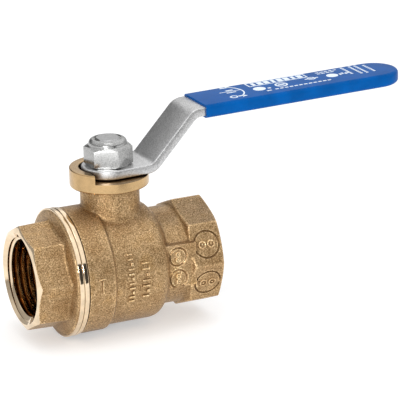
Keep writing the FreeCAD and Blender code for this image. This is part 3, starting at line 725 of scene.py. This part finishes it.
def forge_body(s):
    """Body forging: barrel, shoulder, collar and neck with full fillets, then the sharper parts."""
    mouth = corner_high("valve_body").x
    seam = corner_low("valve_body").x
    waist_end, shoulder = s.waist_end / MM, s.shoulder / MM
    waist, barrel, collar = s.waist_radius / MM, s.barrel_radius / MM, s.collar_radius / MM
    inner, start = seam + s.ring_width / MM, s.body_octagon / MM
    piece = lathed("valve_body_visual", eased([
        (inner, 0), (inner, waist), (waist_end + shoulder, waist, shoulder - 0.01),
        (waist_end + shoulder, collar), (start + 1, collar), (start + 1, 0),
    ], 10))
    add(piece, solid_disc("neck", 5, s.flange_bottom / MM + 0.4, s.neck_radius / MM, upright=True))
    forge(piece, s.grain, s.fillets)
    add(piece, lathed("barrel", eased([
        (inner, 0), (inner, barrel), (s.barrel_end / MM, barrel, 0.35), (s.waist_start / MM, waist, 0.2),
        (s.waist_start / MM, waist - 0.6), (s.waist_start / MM, 0),
    ])))
    octagon = prism("octagon", 8, s.body_flats / MM, start - 1.2, mouth - 0.02)
    widest = s.body_flats / MM / 2 / math.cos(OCTAGON_HALF_STEP)
    keep(octagon, lathed("octagon_lead", [
        (start - 1.1, 0), (start - 1.1, collar - 0.4), (start + 0.1, widest + 0.1),
        (mouth + OVERRUN, widest + 0.1), (mouth + OVERRUN, 0),
    ]))
    add(piece, octagon)
    pad_low = (waist_end, -s.pad_reach / MM, s.pad_bottom / MM)
    add(piece, block("pad", pad_low, (start + 1, -5, s.pad_top / MM)))
    forge(piece, s.grain, s.soften)
    return piece


def mark_body(piece, s):
    """Plain foundry marks: stamped rings round small rings, and raised bars on the barrel."""
    apothem = s.body_flats / MM / 2
    middle = (corner_high("valve_body").x + s.body_octagon / MM) / 2 - 0.3
    pad_middle = s.waist_end / MM + 6.75
    facing = Matrix.Rotation(math.pi / 2, 4, "X")
    pads = [
        Matrix.Translation(Vector((pad_middle, -s.pad_reach / MM, height)) * MM) @ facing
        for height in (3.95, -3.1)
    ]
    pair = [(-1.45, 0, 1.05), (1.45, 0, 1.05)]
    single = [(0, 0.85, 0.62), (0, -0.85, 0.62)]
    places = [
        (LARGE_STAMP, pair, on_barrel(middle, OCTAGON_HALF_STEP, apothem - 0.02)),
        (LARGE_STAMP, pair, on_barrel(middle, -OCTAGON_HALF_STEP, apothem - 0.02)),
        (SMALL_STAMP, single, pads[0]),
        (SMALL_STAMP, single, pads[1]),
    ]
    raised, grooves = [], []
    for size, centre_marks, frame_here in places:
        groove, marks = stamp_tools(size, centre_marks)
        for mark in [groove] + marks:
            move(mark, frame_here)
        grooves.append(groove)
        raised += marks
    waist = s.waist_radius / MM
    for along, tall, high, low, count in BAR_ROWS:
        for k in range(count):
            at = math.radians(high + (low - high) * k / (count - 1))
            is_long = k % 3 != 2
            reach = tall if is_long else tall * 0.45
            half = Vector((reach, 0.27 if is_long else 0.5, 0))
            bar = block("bar", -half - Vector((0, 0, 0.5)), half + Vector((0, 0, 0.42)), 0.14)
            move(bar, on_barrel(along + (0 if is_long else tall * 0.5), at, waist))
            raised.append(bar)
    barrel = s.barrel_radius / MM
    for half, along, at in (((0.24, 2.0, 0), -11.2, 0), ((1.1, 0.24, 0), -11.2, 7.2)):
        half = Vector(half)
        bar = block("barrel_bar", -half - Vector((0, 0, 0.5)), half + Vector((0, 0, 0.3)), 0.14)
        move(bar, on_barrel(along, math.radians(at), barrel))
        raised.append(bar)
    cut(piece, join("stamp_grooves", grooves))
    add(piece, join("raised_marks", raised))


def corner_cutter(name, mouth, inward, apothem, depth, reach):
    """Ring that turns the corners off an octagon's end face."""
    deep, outside = mouth + inward * depth, mouth - inward * OVERRUN
    return lathed(name, [
        (deep, apothem + reach), (mouth, apothem - CHAMFER_INSET), (outside, apothem - CHAMFER_INSET),
        (outside, apothem + 3), (deep, apothem + 3), (deep, apothem + reach),
    ])


def machine_body(piece, s):
    """Lathe work on the body: ring, stop flange, end face, socket, thread and cavity."""
    mouth = corner_high("valve_body").x
    seam = corner_low("valve_body").x
    ring, width, barrel = s.ring_radius / MM, s.ring_width / MM, s.barrel_radius / MM
    top = corner_high("valve_body").z
    add(piece, lathed("rim_ring", eased([
        (seam, 0), (seam, ring, 0.34), (seam + width, ring, 0.22), (seam + width, barrel - 0.45),
        (seam + width + 0.4, barrel - 0.45), (seam + width + 0.4, 0),
    ])))
    cut(piece, lathed("rim_line", [
        (seam + width, barrel - 0.45), (seam + width, ring + 1), (seam + width + 0.45, ring + 1),
        (seam + width + 0.45, barrel - 0.45), (seam + width, barrel - 0.45),
    ]))
    bottom, floor = s.flange_bottom / MM, s.flange_floor / MM
    outer = s.flange_radius / MM
    neck, inner = s.neck_radius / MM, s.stop_inner / MM
    flange = lathed("stop_flange", eased([
        (bottom - 0.4, 0), (bottom - 0.4, neck - 0.6), (bottom, neck - 0.2), (bottom, outer, 0.5),
        (top, outer, 0.35), (top, inner, 0.2), (floor, inner), (floor, 0),
    ]), upright=True)
    face = s.stop_face / MM
    cut(flange, block("swing_front", (-face, -20, floor), (20, 0, top + 2)))
    cut(flange, block("swing_side", (0, -1, floor), (20, face, top + 2)))
    add(piece, flange)
    cut(piece, lathed("stem_way", stepped(STEM_STEPS, floor + 3), upright=True))
    cut(piece, corner_cutter("end_chamfer", mouth, -1, s.body_flats / MM / 2, 0.75, 1.4))
    minor, wide = s.thread_minor / MM, s.mouth_radius / MM
    inside = stepped([
        (seam - OVERRUN, SPIGOT_RADIUS), (SPIGOT_END, CAVITY_RADIUS), (CAVITY_END, SEAT_POCKET_RADIUS),
        (SEAT_BACK, PORT_RADIUS),
    ], THREAD_BACK)[:-1]
    cut(piece, lathed("flow_way", inside + [
        (THREAD_BACK, minor), (mouth - (wide - minor) * 0.8, minor), (mouth, wide),
        (mouth + OVERRUN, wide + 0.5), (mouth + OVERRUN, 0),
    ]))
    thread = pipe_thread("outlet_thread", -mouth, s, 8)
    move(thread, Matrix.Rotation(math.pi, 4, "Z"))
    cut(piece, thread)


def body_finish(s):
    """Rule that tells the turned faces of the body from the blasted ones."""
    mouth = corner_high("valve_body").x
    seam = corner_low("valve_body").x
    ring_end = seam + s.ring_width / MM
    floor = s.flange_bottom / MM

    def choose(middle, normal):
        radius = math.hypot(middle.y, middle.z)
        if middle.z > floor - 0.05 and abs(middle.x) < 13:
            return 2
        if middle.x < ring_end + 0.02 or radius < 14.2 or middle.x > mouth - 0.01:
            return 1
        cone = normal.x > 0.35 and middle.x > mouth - 1.3
        return 1 if cone else 0

    return choose


def forge_end_cap(s):
    """End cap: tapered octagon on a round flange, then turned, bored and threaded."""
    mouth = corner_low("end_cap").x
    seam = corner_low("valve_body").x
    ring, width = s.ring_radius / MM, s.ring_width / MM
    front = seam - width
    piece = lathed("end_cap_visual", [
        (front - 2.6, 0), (front - 2.6, 14.6), (front - 1.5, 15.8), (front - 0.45, ring - 0.75),
        (front + 0.2, ring - 0.3), (seam - 0.3, ring - 0.3), (seam - 0.3, 0),
    ])
    add(piece, prism(
        "cap_octagon", 8, s.cap_front_flats / MM, mouth + 0.02, front - 0.6,
        s.cap_turn, s.cap_back_flats / MM,
    ))
    forge(piece, s.grain, s.soften)
    spigot = SPIGOT_RADIUS - 0.05
    add(piece, lathed("cap_ring", eased([
        (front, 0), (front, ring, 0.22), (seam, ring, 0.34), (seam, spigot), (-10.4, spigot),
        (-9.9, spigot - 0.5), (-9.9, 0),
    ])))
    cut(piece, corner_cutter("cap_chamfer", mouth, 1, s.cap_front_flats / MM / 2, 1.1, 1.3))
    minor, wide = s.thread_minor / MM, s.mouth_radius / MM
    cut(piece, lathed("cap_way", [
        (mouth - OVERRUN, 0), (mouth - OVERRUN, wide + 0.5), (mouth, wide),
        (mouth + (wide - minor) * 0.8, minor), (-THREAD_BACK, minor), (-THREAD_BACK, PORT_RADIUS),
        (-SEAT_BACK, PORT_RADIUS), (-SEAT_BACK, SEAT_POCKET_RADIUS), (-9, SEAT_POCKET_RADIUS), (-9, 0),
    ]))
    cut(piece, pipe_thread("inlet_thread", mouth, s, 8))
    return piece


def cap_finish(s):
    """Rule that tells the turned faces of the end cap from the blasted ones."""
    mouth = corner_low("end_cap").x
    front = corner_low("valve_body").x - s.ring_width / MM

    def choose(middle, normal):
        radius = math.hypot(middle.y, middle.z)
        if middle.x > front - 0.02 or radius < 13.9 or middle.x < mouth + 0.01:
            return 1
        cone = normal.x < -0.35 and middle.x < mouth + 1.7
        return 1 if cone else 0

    return choose


# ---------------------------------------------------------------- lever, grip and nut

def lever_path(s):
    """Start of the bent plate's middle line, and its runs as (length, turn)."""
    base = corner_low("lever").z + s.plate / MM / 2
    lean = math.atan2(s.bend_rise, s.bend_run)
    half_plate = s.plate / MM / 2
    middle_radius = s.bend_radius / MM + half_plate
    first_x = s.first_bend / MM - half_plate * math.tan(lean / 2)
    second_x = (s.first_bend + s.bend_run) / MM - half_plate * math.tan((lean + s.tilt) / 2)
    climb = (second_x - first_x) / math.cos(lean)
    first_trim = middle_radius * math.tan(lean / 2)
    second_trim = middle_radius * math.tan((lean - s.tilt) / 2)
    start_x = corner_low("lever").x
    tip_run = (corner_high("lever").x - TIP_PLAY - second_x) / math.cos(s.tilt)
    runs = [
        (first_x - first_trim - start_x, 0),
        (middle_radius * lean, lean),
        (climb - first_trim - second_trim, 0),
        (middle_radius * (lean - s.tilt), s.tilt - lean),
        (tip_run - second_trim, 0),
    ]
    return Vector((start_x, base)), runs


def along_path(start, runs, distance):
    """Place and heading at a distance along the bent plate's middle line."""
    spot, heading = start.copy(), 0.0
    for number, (run, turn) in enumerate(runs):
        here = distance if number == len(runs) - 1 else min(distance, run)
        part = turn * here / run if turn else 0.0
        if turn:
            ahead = heading + part
            swing = (math.sin(ahead) - math.sin(heading), math.cos(heading) - math.cos(ahead))
            spot += Vector(swing) * run / turn
        else:
            spot += Vector((math.cos(heading), math.sin(heading))) * here
        heading += part
        distance -= here
        if distance <= 0:
            break
    return spot, heading


def flat_plate(name, outline, thickness):
    """Plate cut to an outline in the XY plane, centred on it."""
    points = [(x, y, -thickness / 2) for x, y in outline]
    piece = chain(name, points, closed=True)
    with editing():
        bpy.ops.mesh.select_all(action="SELECT")
        bpy.ops.mesh.extrude_region_move(TRANSFORM_OT_translate={"value": (0, 0, thickness * MM)})
    tidy_mesh(piece)
    return piece


def arc_points(centre, radius, start, finish, count):
    """Points on an arc, from one angle in degrees to another."""
    angles = [math.radians(start + (finish - start) * k / count) for k in range(count + 1)]
    return [(centre[0] + radius * math.cos(a), centre[1] + radius * math.sin(a)) for a in angles]


def make_lever(s):
    """Stamped lever: round eye, two bends, straight grip."""
    start, runs = lever_path(s)
    eye = corner_high("lever").y
    half = s.half_width / MM
    total = sum(run for run, _ in runs)
    lean_in = math.degrees(math.asin((eye - half) / (s.first_bend / MM)))
    outline = arc_points((eye, 0), eye, 90 - lean_in, 270 + lean_in, 48)
    outline += [(eye + s.first_bend / MM, -half)]
    outline += arc_points((total - half, 0), half, -90, 90, 32)
    outline += [(eye + s.first_bend / MM, half)]
    piece = flat_plate("lever_visual", outline, s.plate / MM)
    soften_edges(piece, s.edge_rounding / MM, 4)
    stations = []
    reached = 0.0
    for run, turn in runs:
        if turn:
            stations += [reached + run * k / 10 for k in range(11)]
        reached += run
    only(piece)
    with editing():
        for station in stations:
            bpy.ops.mesh.select_all(action="SELECT")
            bpy.ops.mesh.bisect(plane_co=(station * MM, 0, 0), plane_no=(1, 0, 0))
    for vertex in piece.data.vertices:
        flat = vertex.co / MM
        spot, heading = along_path(start, runs, max(flat.x, 0.0))
        normal = Vector((-math.sin(heading), math.cos(heading)))
        placed = spot + normal * flat.z
        vertex.co = Vector((placed.x, flat.y, placed.y)) * MM
    hole = lathed("lever_hole", stepped([(20, LEVER_HOLE_RADIUS)], 35), 64, upright=True)
    flat = LEVER_HOLE_FLATS / 2
    keep(hole, block("drive_flats", (-flat, -6, 19), (flat, 6, 36)))
    cut(piece, hole)
    shade(piece)
    return piece


def make_grip(s):
    """Dipped sleeve with rounded edges, closed at the tip and hollow for the plate."""
    start, runs = lever_path(s)
    wall, plate = s.sleeve_wall / MM, s.plate / MM
    half = s.half_width / MM + wall
    opening = corner_low("grip_sleeve").x + 0.04
    straight = sum(run for run, _ in runs[:4])
    bend_end, tilt = along_path(start, runs, straight)
    grip_length = (corner_high("lever").x - TIP_PLAY + wall - opening) / math.cos(tilt)
    outline = [(0, -half)] + arc_points((grip_length - half, 0), half, -90, 90, 40) + [(0, half)]
    piece = flat_plate("grip_sleeve_visual", outline, plate + 2 * wall)
    only(piece)
    with editing():
        bpy.ops.mesh.select_mode(type="EDGE")
        bpy.ops.mesh.select_all(action="DESELECT")
    top = (plate / 2 + wall) * MM
    for edge in piece.data.edges:
        ends = [piece.data.vertices[k].co for k in edge.vertices]
        on_face = all(abs(abs(e.z) - top) < SAME_PLACE / 10 for e in ends)
        level = on_face and (ends[0].z > 0) == (ends[1].z > 0)
        edge.select = level and max(e.x for e in ends) > 0.1 * MM
    with editing():
        bpy.ops.mesh.bevel(
            offset=s.sleeve_rounding, segments=7, profile=0.5, affect="EDGES", clamp_overlap=True
        )
    tidy_mesh(piece)
    inner = s.half_width / MM
    core = [(-2, -inner)] + arc_points((grip_length - half, 0), inner, -90, 90, 24) + [(-2, inner)]
    cut(piece, flat_plate("sleeve_core", core, plate))
    drop = (opening - bend_end.x) / math.cos(tilt)
    spot, _ = along_path(start, runs, straight + drop)
    place = Matrix.Translation(Vector((spot.x, 0, spot.y)) * MM) @ Matrix.Rotation(-tilt, 4, "Y")
    move(piece, place)
    shade(piece, 40)
    return piece, place


def make_print(s, place):
    """Plain printed marks on the grip: rings, dots, bars, a frame and the open-close arc."""
    top = (s.plate + 2 * s.sleeve_wall) / MM / 2
    height = s.print_height / MM
    low, high = top - 0.1, top + height
    pieces = []

    def bar(u, v, long_side, short_side):
        half = Vector((long_side, short_side, 0)) / 2
        pieces.append(block("bar", Vector((u, v, low)) - half, Vector((u, v, high)) + half))

    def flat_mark(outline):
        mark = flat_plate("mark", outline, high - low)
        move(mark, Matrix.Translation((0, 0, (low + high) / 2 * MM)))
        pieces.append(mark)

    def ring(u, v, radius, line, first=0, last=360, steps=40):
        if last - first >= 360:
            for k in range(4):
                ring(u, v, radius, line, k * 90, k * 90 + 90.5, steps // 4)
            return
        outer = arc_points((u, v), radius, first, last, steps)
        flat_mark(outer + arc_points((u, v), radius - line, last, first, steps))

    def disc(u, v, radius):
        flat_mark(arc_points((u, v), radius, 0, 350, 35))

    def arrow(u, v, heading, size):
        turns = [math.radians(heading) + side for side in (0, 2.4, -2.4)]
        flat_mark([(u + size * math.cos(a), v + size * math.sin(a)) for a in turns])

    # Open-close arc, nearest the stem
    ring(9.4, 1.0, 7.2, 0.45, -48, 52)
    arrow(14.4, -4.9, -140, 1.1)
    arrow(13.8, 7.0, 140, 0.9)
    ring(11.2, -4.2, 1.3, 0.5)
    bar(12.9, 6.3, 3.4, 0.8)
    bar(13.6, -4.3, 1.9, 0.8)
    bar(12.6, 1.9, 7.0, 0.35)
    bar(12.9, 3.0, 2.4, 0.7)
    bar(12.6, 0.6, 3.2, 0.6)

    # Frame round a row of bars
    left, right, near, far = 20.0, 40.0, 3.1, 6.75
    for level in (near, far):
        bar((left + right) / 2, level, right - left + 0.45, 0.45)
    for side in (left, right):
        bar(side, (near + far) / 2, 0.45, far - near)
    for k in range(8):
        bar(22.0 + 2.3 * k, (near + far) / 2, 1.75 if k % 3 else 1.1, 2.6)

    # Dots, rings and short rows beside and past the frame
    disc(21.6, -0.5, 2.0)
    bar(24.6, -1.4, 1.0, 0.9)
    ring(29.4, 0.0, 2.1, 0.6)
    bar(29.4, 0.0, 2.4, 0.9)
    ring(40.4, 1.0, 1.35, 0.4)
    bar(40.4, 1.0, 4.6, 0.6)
    for k in range(12):
        bar(26.2 + 1.65 * k, -3.6, 1.15, 0.75)
    bar(23.4, -3.9, 1.6, 0.7)
    disc(47.4, 0.4, 1.9)
    for k in range(4):
        bar(50.2 + 1.0 * k, 0.3 + 0.5 * (k % 2), 0.7, 1.3)
    for row, count in ((5.6, 5), (4.2, 4)):
        for k in range(count):
            bar(44.6 + 1.55 * k, row, 1.15, 0.6)


    # Columns across the grip, towards the tip
    for column, first, count in ((53.6, 6.2, 7), (56.4, 6.2, 8), (58.3, 6.0, 8), (61.0, 5.2, 7)):
        for k in range(count):
            bar(column, first - 1.2 * k, 0.8, 0.75)
    marks = join("grip_print_visual", pieces)
    move(marks, place)
    return marks


def make_nut(s):
    """Lock nut: hexagon with turned chamfers, crimped collar and a bore for the stem."""
    seat, top = corner_low("handle_nut").z, corner_high("handle_nut").z
    corner = s.nut_flats / MM / 2 / math.cos(math.pi / 6)
    shoulder = seat + 6.4
    piece = prism("handle_nut_visual", 6, s.nut_flats / MM, seat, top + 1, s.nut_turn, upright=True)
    collar = s.nut_collar / MM
    keep(piece, lathed("nut_crown", eased([
        (seat, 0), (seat, s.nut_flats / MM / 2 - 0.1), (seat + 0.6, corner + 0.2),
        (shoulder - 1.0, corner + 0.2), (shoulder, collar + 0.02), (shoulder + 0.25, collar),
        (top, collar, 1.45), (top, 0),
    ], 10), 128, upright=True))
    soften_edges(piece, 0.14, 2, 24)
    thread, insert = NUT_THREAD_RADIUS, NUT_INSERT_RADIUS
    bore = [
        (seat - OVERRUN, 0), (seat - OVERRUN, 5.2), (seat + 0.3, thread), (seat + 6.5, thread),
        (seat + 6.5, 5.0), (seat + 7.7, 5.0), (seat + 7.7, insert), (top + OVERRUN, insert),
        (top + OVERRUN, 0),
    ]
    cut(piece, lathed("nut_bore", bore, 96, upright=True))
    shade(piece, 28)
    return piece


def make_ball():
    """Polished ball with its bore and the slot for the stem's tang."""
    radius = corner_high("ball").y * MM
    bpy.ops.object.select_all(action="DESELECT")
    bpy.ops.mesh.primitive_uv_sphere_add(segments=128, ring_count=64, radius=radius)
    piece = bpy.context.object
    piece.name = "ball_visual"
    reach = radius / MM + OVERRUN
    cut(piece, solid_disc("ball_bore", -reach, reach, PORT_RADIUS - 0.1))
    cut(piece, block("ball_slot", (-2.5, -reach, 11.2), (2.5, reach, reach + 1)))
    soften_edges(piece, 0.25, 3, 35)
    shade(piece, 35)
    return piece


# ---------------------------------------------------------------- operators

def hand_over(piece, body, nodes, coating=None):
    """Coat a finished piece, and tell the frame what it rides on, stands for and is made of."""
    if coating:
        coat(piece, finish(coating))
    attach(piece, body)
    if nodes:
        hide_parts(*nodes)


class VALVE_OT_body(bpy.types.Operator):
    """Forge, mark and machine the valve body"""

    bl_idname = "valve.body"
    bl_label = "Valve body"

    def execute(self, context):
        s = context.scene.valve_forging
        piece = forge_body(s)
        mark_body(piece, s)
        machine_body(piece, s)
        names = ("blasted_brass", "cut_brass", "cut_brass_flange")
        finish_by_place(piece, [finish(n) for n in names], body_finish(s))
        shade(piece)
        hand_over(piece, "valve", ["valve_body"])
        return {"FINISHED"}


class VALVE_OT_end_cap(bpy.types.Operator):
    """Forge and machine the end cap"""

    bl_idname = "valve.end_cap"
    bl_label = "End cap"

    def execute(self, context):
        s = context.scene.valve_forging
        piece = forge_end_cap(s)
        finish_by_place(piece, [finish("blasted_brass"), finish("cut_brass")], cap_finish(s))
        shade(piece)
        hand_over(piece, "valve", ["end_cap"])
        return {"FINISHED"}


class VALVE_OT_ball(bpy.types.Operator):
    """Make the chromed ball"""

    bl_idname = "valve.ball"
    bl_label = "Ball"

    def execute(self, context):
        hand_over(make_ball(), "ball", ["ball"], "chrome")
        return {"FINISHED"}


class VALVE_OT_lever(bpy.types.Operator):
    """Stamp and bend the lever"""

    bl_idname = "valve.lever"
    bl_label = "Lever"

    def execute(self, context):
        piece = make_lever(context.scene.valve_lever)
        hand_over(piece, "handle", ["lever"], "satin_steel")
        return {"FINISHED"}


class VALVE_OT_grip(bpy.types.Operator):
    """Dip the grip and print its marks"""

    bl_idname = "valve.grip"
    bl_label = "Grip"

    def execute(self, context):
        s = context.scene.valve_lever
        sleeve, place = make_grip(s)
        hand_over(sleeve, "handle", ["grip_sleeve"], "dipped_vinyl")
        hand_over(make_print(s, place), "handle", [], "print")
        return {"FINISHED"}


class VALVE_OT_nut(bpy.types.Operator):
    """Make the lock nut"""

    bl_idname = "valve.nut"
    bl_label = "Lock nut"

    def execute(self, context):
        piece = make_nut(context.scene.valve_lever)
        hand_over(piece, "handle", ["handle_nut"], "bright_plate")
        return {"FINISHED"}


class VALVE_OT_inner_finishes(bpy.types.Operator):
    """Give the stem, seals, packing and gland their finishes"""

    bl_idname = "valve.inner_finishes"
    bl_label = "Inner finishes"

    def execute(self, context):
        by_slot = {
            "plated_stem": "stem_plate", "seal_ptfe": "seal", "seal_rubber": "rubber",
            "turned_brass": "cut_brass_flange", "insert_nylon": "nylon",
        }
        for part in frame["record"]["subparts"]:
            if part["material_slot"] in by_slot:
                node = frame["nodes"][part["node"]]
                coat(node, finish(by_slot[part["material_slot"]]))
        return {"FINISHED"}


class VALVE_OT_stage(bpy.types.Operator):
    """Set up the floor, light and camera"""

    bl_idname = "valve.stage"
    bl_label = "Stage"

    def execute(self, context):
        s = context.scene.valve_stage
        context.scene.view_settings.view_transform = "Standard"
        bpy.ops.object.select_all(action="DESELECT")
        bpy.ops.mesh.primitive_plane_add(size=8, location=(0, 0, cad_low.z))
        floor = context.object
        floor.name = "floor"
        coat(floor, plain_finish("floor", tuple(s.floor), 0.9, mottle=0.0))
        glass = shader_of(floor.active_material)
        glass.inputs["Emission Color"].default_value = (1, 1, 1, 1)
        glass.inputs["Emission Strength"].default_value = s.glow
        back = Vector((
            math.sin(s.azimuth) * math.cos(s.elevation),
            -math.cos(s.azimuth) * math.cos(s.elevation),
            math.sin(s.elevation),
        ))
        level = Vector((math.cos(s.azimuth), math.sin(s.azimuth), 0))
        rise = back.cross(level)
        right = level * math.cos(s.roll) + rise * math.sin(s.roll)
        up = rise * math.cos(s.roll) - level * math.sin(s.roll)
        lens = bpy.data.cameras.new("camera")
        camera = bpy.data.objects.new("camera", lens)
        context.scene.collection.objects.link(camera)
        turn = Matrix((right, up, back)).transposed().to_4x4()
        spot = back * s.distance + right * s.aim_right + up * s.aim_up
        camera.matrix_world = Matrix.Translation(spot) @ turn
        lens.lens = s.lens
        lens.sensor_width = 36
        lens.clip_start, lens.clip_end = 0.05, 20
        context.scene.camera = camera
        light_stage(context, s)
        return {"FINISHED"}


def soft_light(name, target, direction, size, power):
    """Square soft light aimed at a point."""
    data = bpy.data.lights.new(name, "AREA")
    data.size = size
    data.energy = power
    light = bpy.data.objects.new(name, data)
    bpy.context.scene.collection.objects.link(light)
    light.location = target + direction.normalized() * LIGHT_DISTANCE
    light.rotation_mode = "QUATERNION"
    light.rotation_quaternion = direction.to_track_quat("Z", "Y")
    return light


def dark_card(name, middle, size, shade_of_grey):
    """Upright card, facing front, that only shows as a darker streak in glossy faces."""
    bpy.ops.object.select_all(action="DESELECT")
    bpy.ops.mesh.primitive_plane_add(size=1, location=middle, rotation=(math.pi / 2, 0, 0))
    card = bpy.context.object
    card.name = name
    card.scale = (*size, 1)
    bpy.ops.object.transform_apply(location=True, rotation=True, scale=True)
    coat(card, plain_finish(name, grey(shade_of_grey), 0.9, mottle=0.0))
    shader_of(card.active_material).inputs["Specular IOR Level"].default_value = 0.0
    card.visible_camera = card.visible_diffuse = card.visible_shadow = False


def light_stage(context, s):
    """Bright ceiling over a greyer surround, two soft lights and two dark cards for the gloss."""
    middle = (cad_low + cad_high) / 2
    soft_light("key", middle, KEY_SIDE, 0.10, s.key)
    soft_light("top", middle, TOP_SIDE, 0.25, s.top)
    # The front card makes the dark band on the turned rings, the back card greys the lever's slope
    dark_card("front_card", (0.05, -0.165, 0.034), (0.07, 0.104), 0.06)
    dark_card("back_card", (-0.06, 0.18, 0.105), (0.16, 0.09), 0.10)
    world = bpy.data.worlds.new("surround")
    context.scene.world = world
    world.use_nodes = True
    tree = world.node_tree
    shine = next(n for n in tree.nodes if n.type == "BACKGROUND")
    place = tree.nodes.new("ShaderNodeTexCoord")
    split = tree.nodes.new("ShaderNodeSeparateXYZ")
    tree.links.new(place.outputs["Generated"], split.inputs["Vector"])
    height = spread(tree, split.outputs["Z"], 0, 1)
    height.node.inputs["From Min"].default_value = -1
    high = grey(s.ceiling)
    sky = ramp(tree, height, [(0.50, grey(0.55)), (0.66, grey(0.70)), (0.73, high), (1.0, high)])
    side = spread(tree, split.outputs["X"], 0, 1)
    side.node.inputs["From Min"].default_value = -1
    sides = ramp(tree, side, [(0.30, grey(0.7)), (0.62, WHITE)])
    tree.links.new(multiplied(tree, sky, sides), shine.inputs["Color"])
    shine.inputs["Strength"].default_value = s.sky


class VALVE_PT_panel(bpy.types.Panel):
    """Buttons that build the valve piece by piece"""

    bl_label = "Ball Valve"
    bl_idname = "VALVE_PT_panel"
    bl_space_type = "VIEW_3D"
    bl_region_type = "UI"
    bl_category = "Ball Valve"

    def draw(self, context):
        for operator in OPERATORS:
            self.layout.operator(operator.bl_idname)
        for name in SETTINGS:
            group = getattr(context.scene, name)
            box = self.layout.box()
            for key in group.__annotations__:
                box.prop(group, key)


OPERATORS = (
    VALVE_OT_body, VALVE_OT_end_cap, VALVE_OT_ball, VALVE_OT_lever, VALVE_OT_grip, VALVE_OT_nut,
    VALVE_OT_inner_finishes, VALVE_OT_stage,
)
SETTINGS = {
    "valve_forging": ForgingSettings,
    "valve_lever": LeverSettings,
    "valve_finishes": FinishSettings,
    "valve_stage": StageSettings,
}


def register():
    """Register the settings, the operators and the panel."""
    for name, group in SETTINGS.items():
        bpy.utils.register_class(group)
        setattr(bpy.types.Scene, name, PointerProperty(type=group))
    for operator in OPERATORS:
        bpy.utils.register_class(operator)
    bpy.utils.register_class(VALVE_PT_panel)


def unregister():
    """Take everything out again."""
    bpy.utils.unregister_class(VALVE_PT_panel)
    for operator in reversed(OPERATORS):
        bpy.utils.unregister_class(operator)
    for name, group in SETTINGS.items():
        delattr(bpy.types.Scene, name)
        bpy.utils.unregister_class(group)


def main():
    """Build every piece."""
    register()
    bpy.ops.valve.body()
    bpy.ops.valve.end_cap()
    bpy.ops.valve.ball()
    bpy.ops.valve.lever()
    bpy.ops.valve.grip()
    bpy.ops.valve.nut()
    bpy.ops.valve.inner_finishes()
    bpy.ops.valve.stage()


if __name__ == "__main__":
    main()
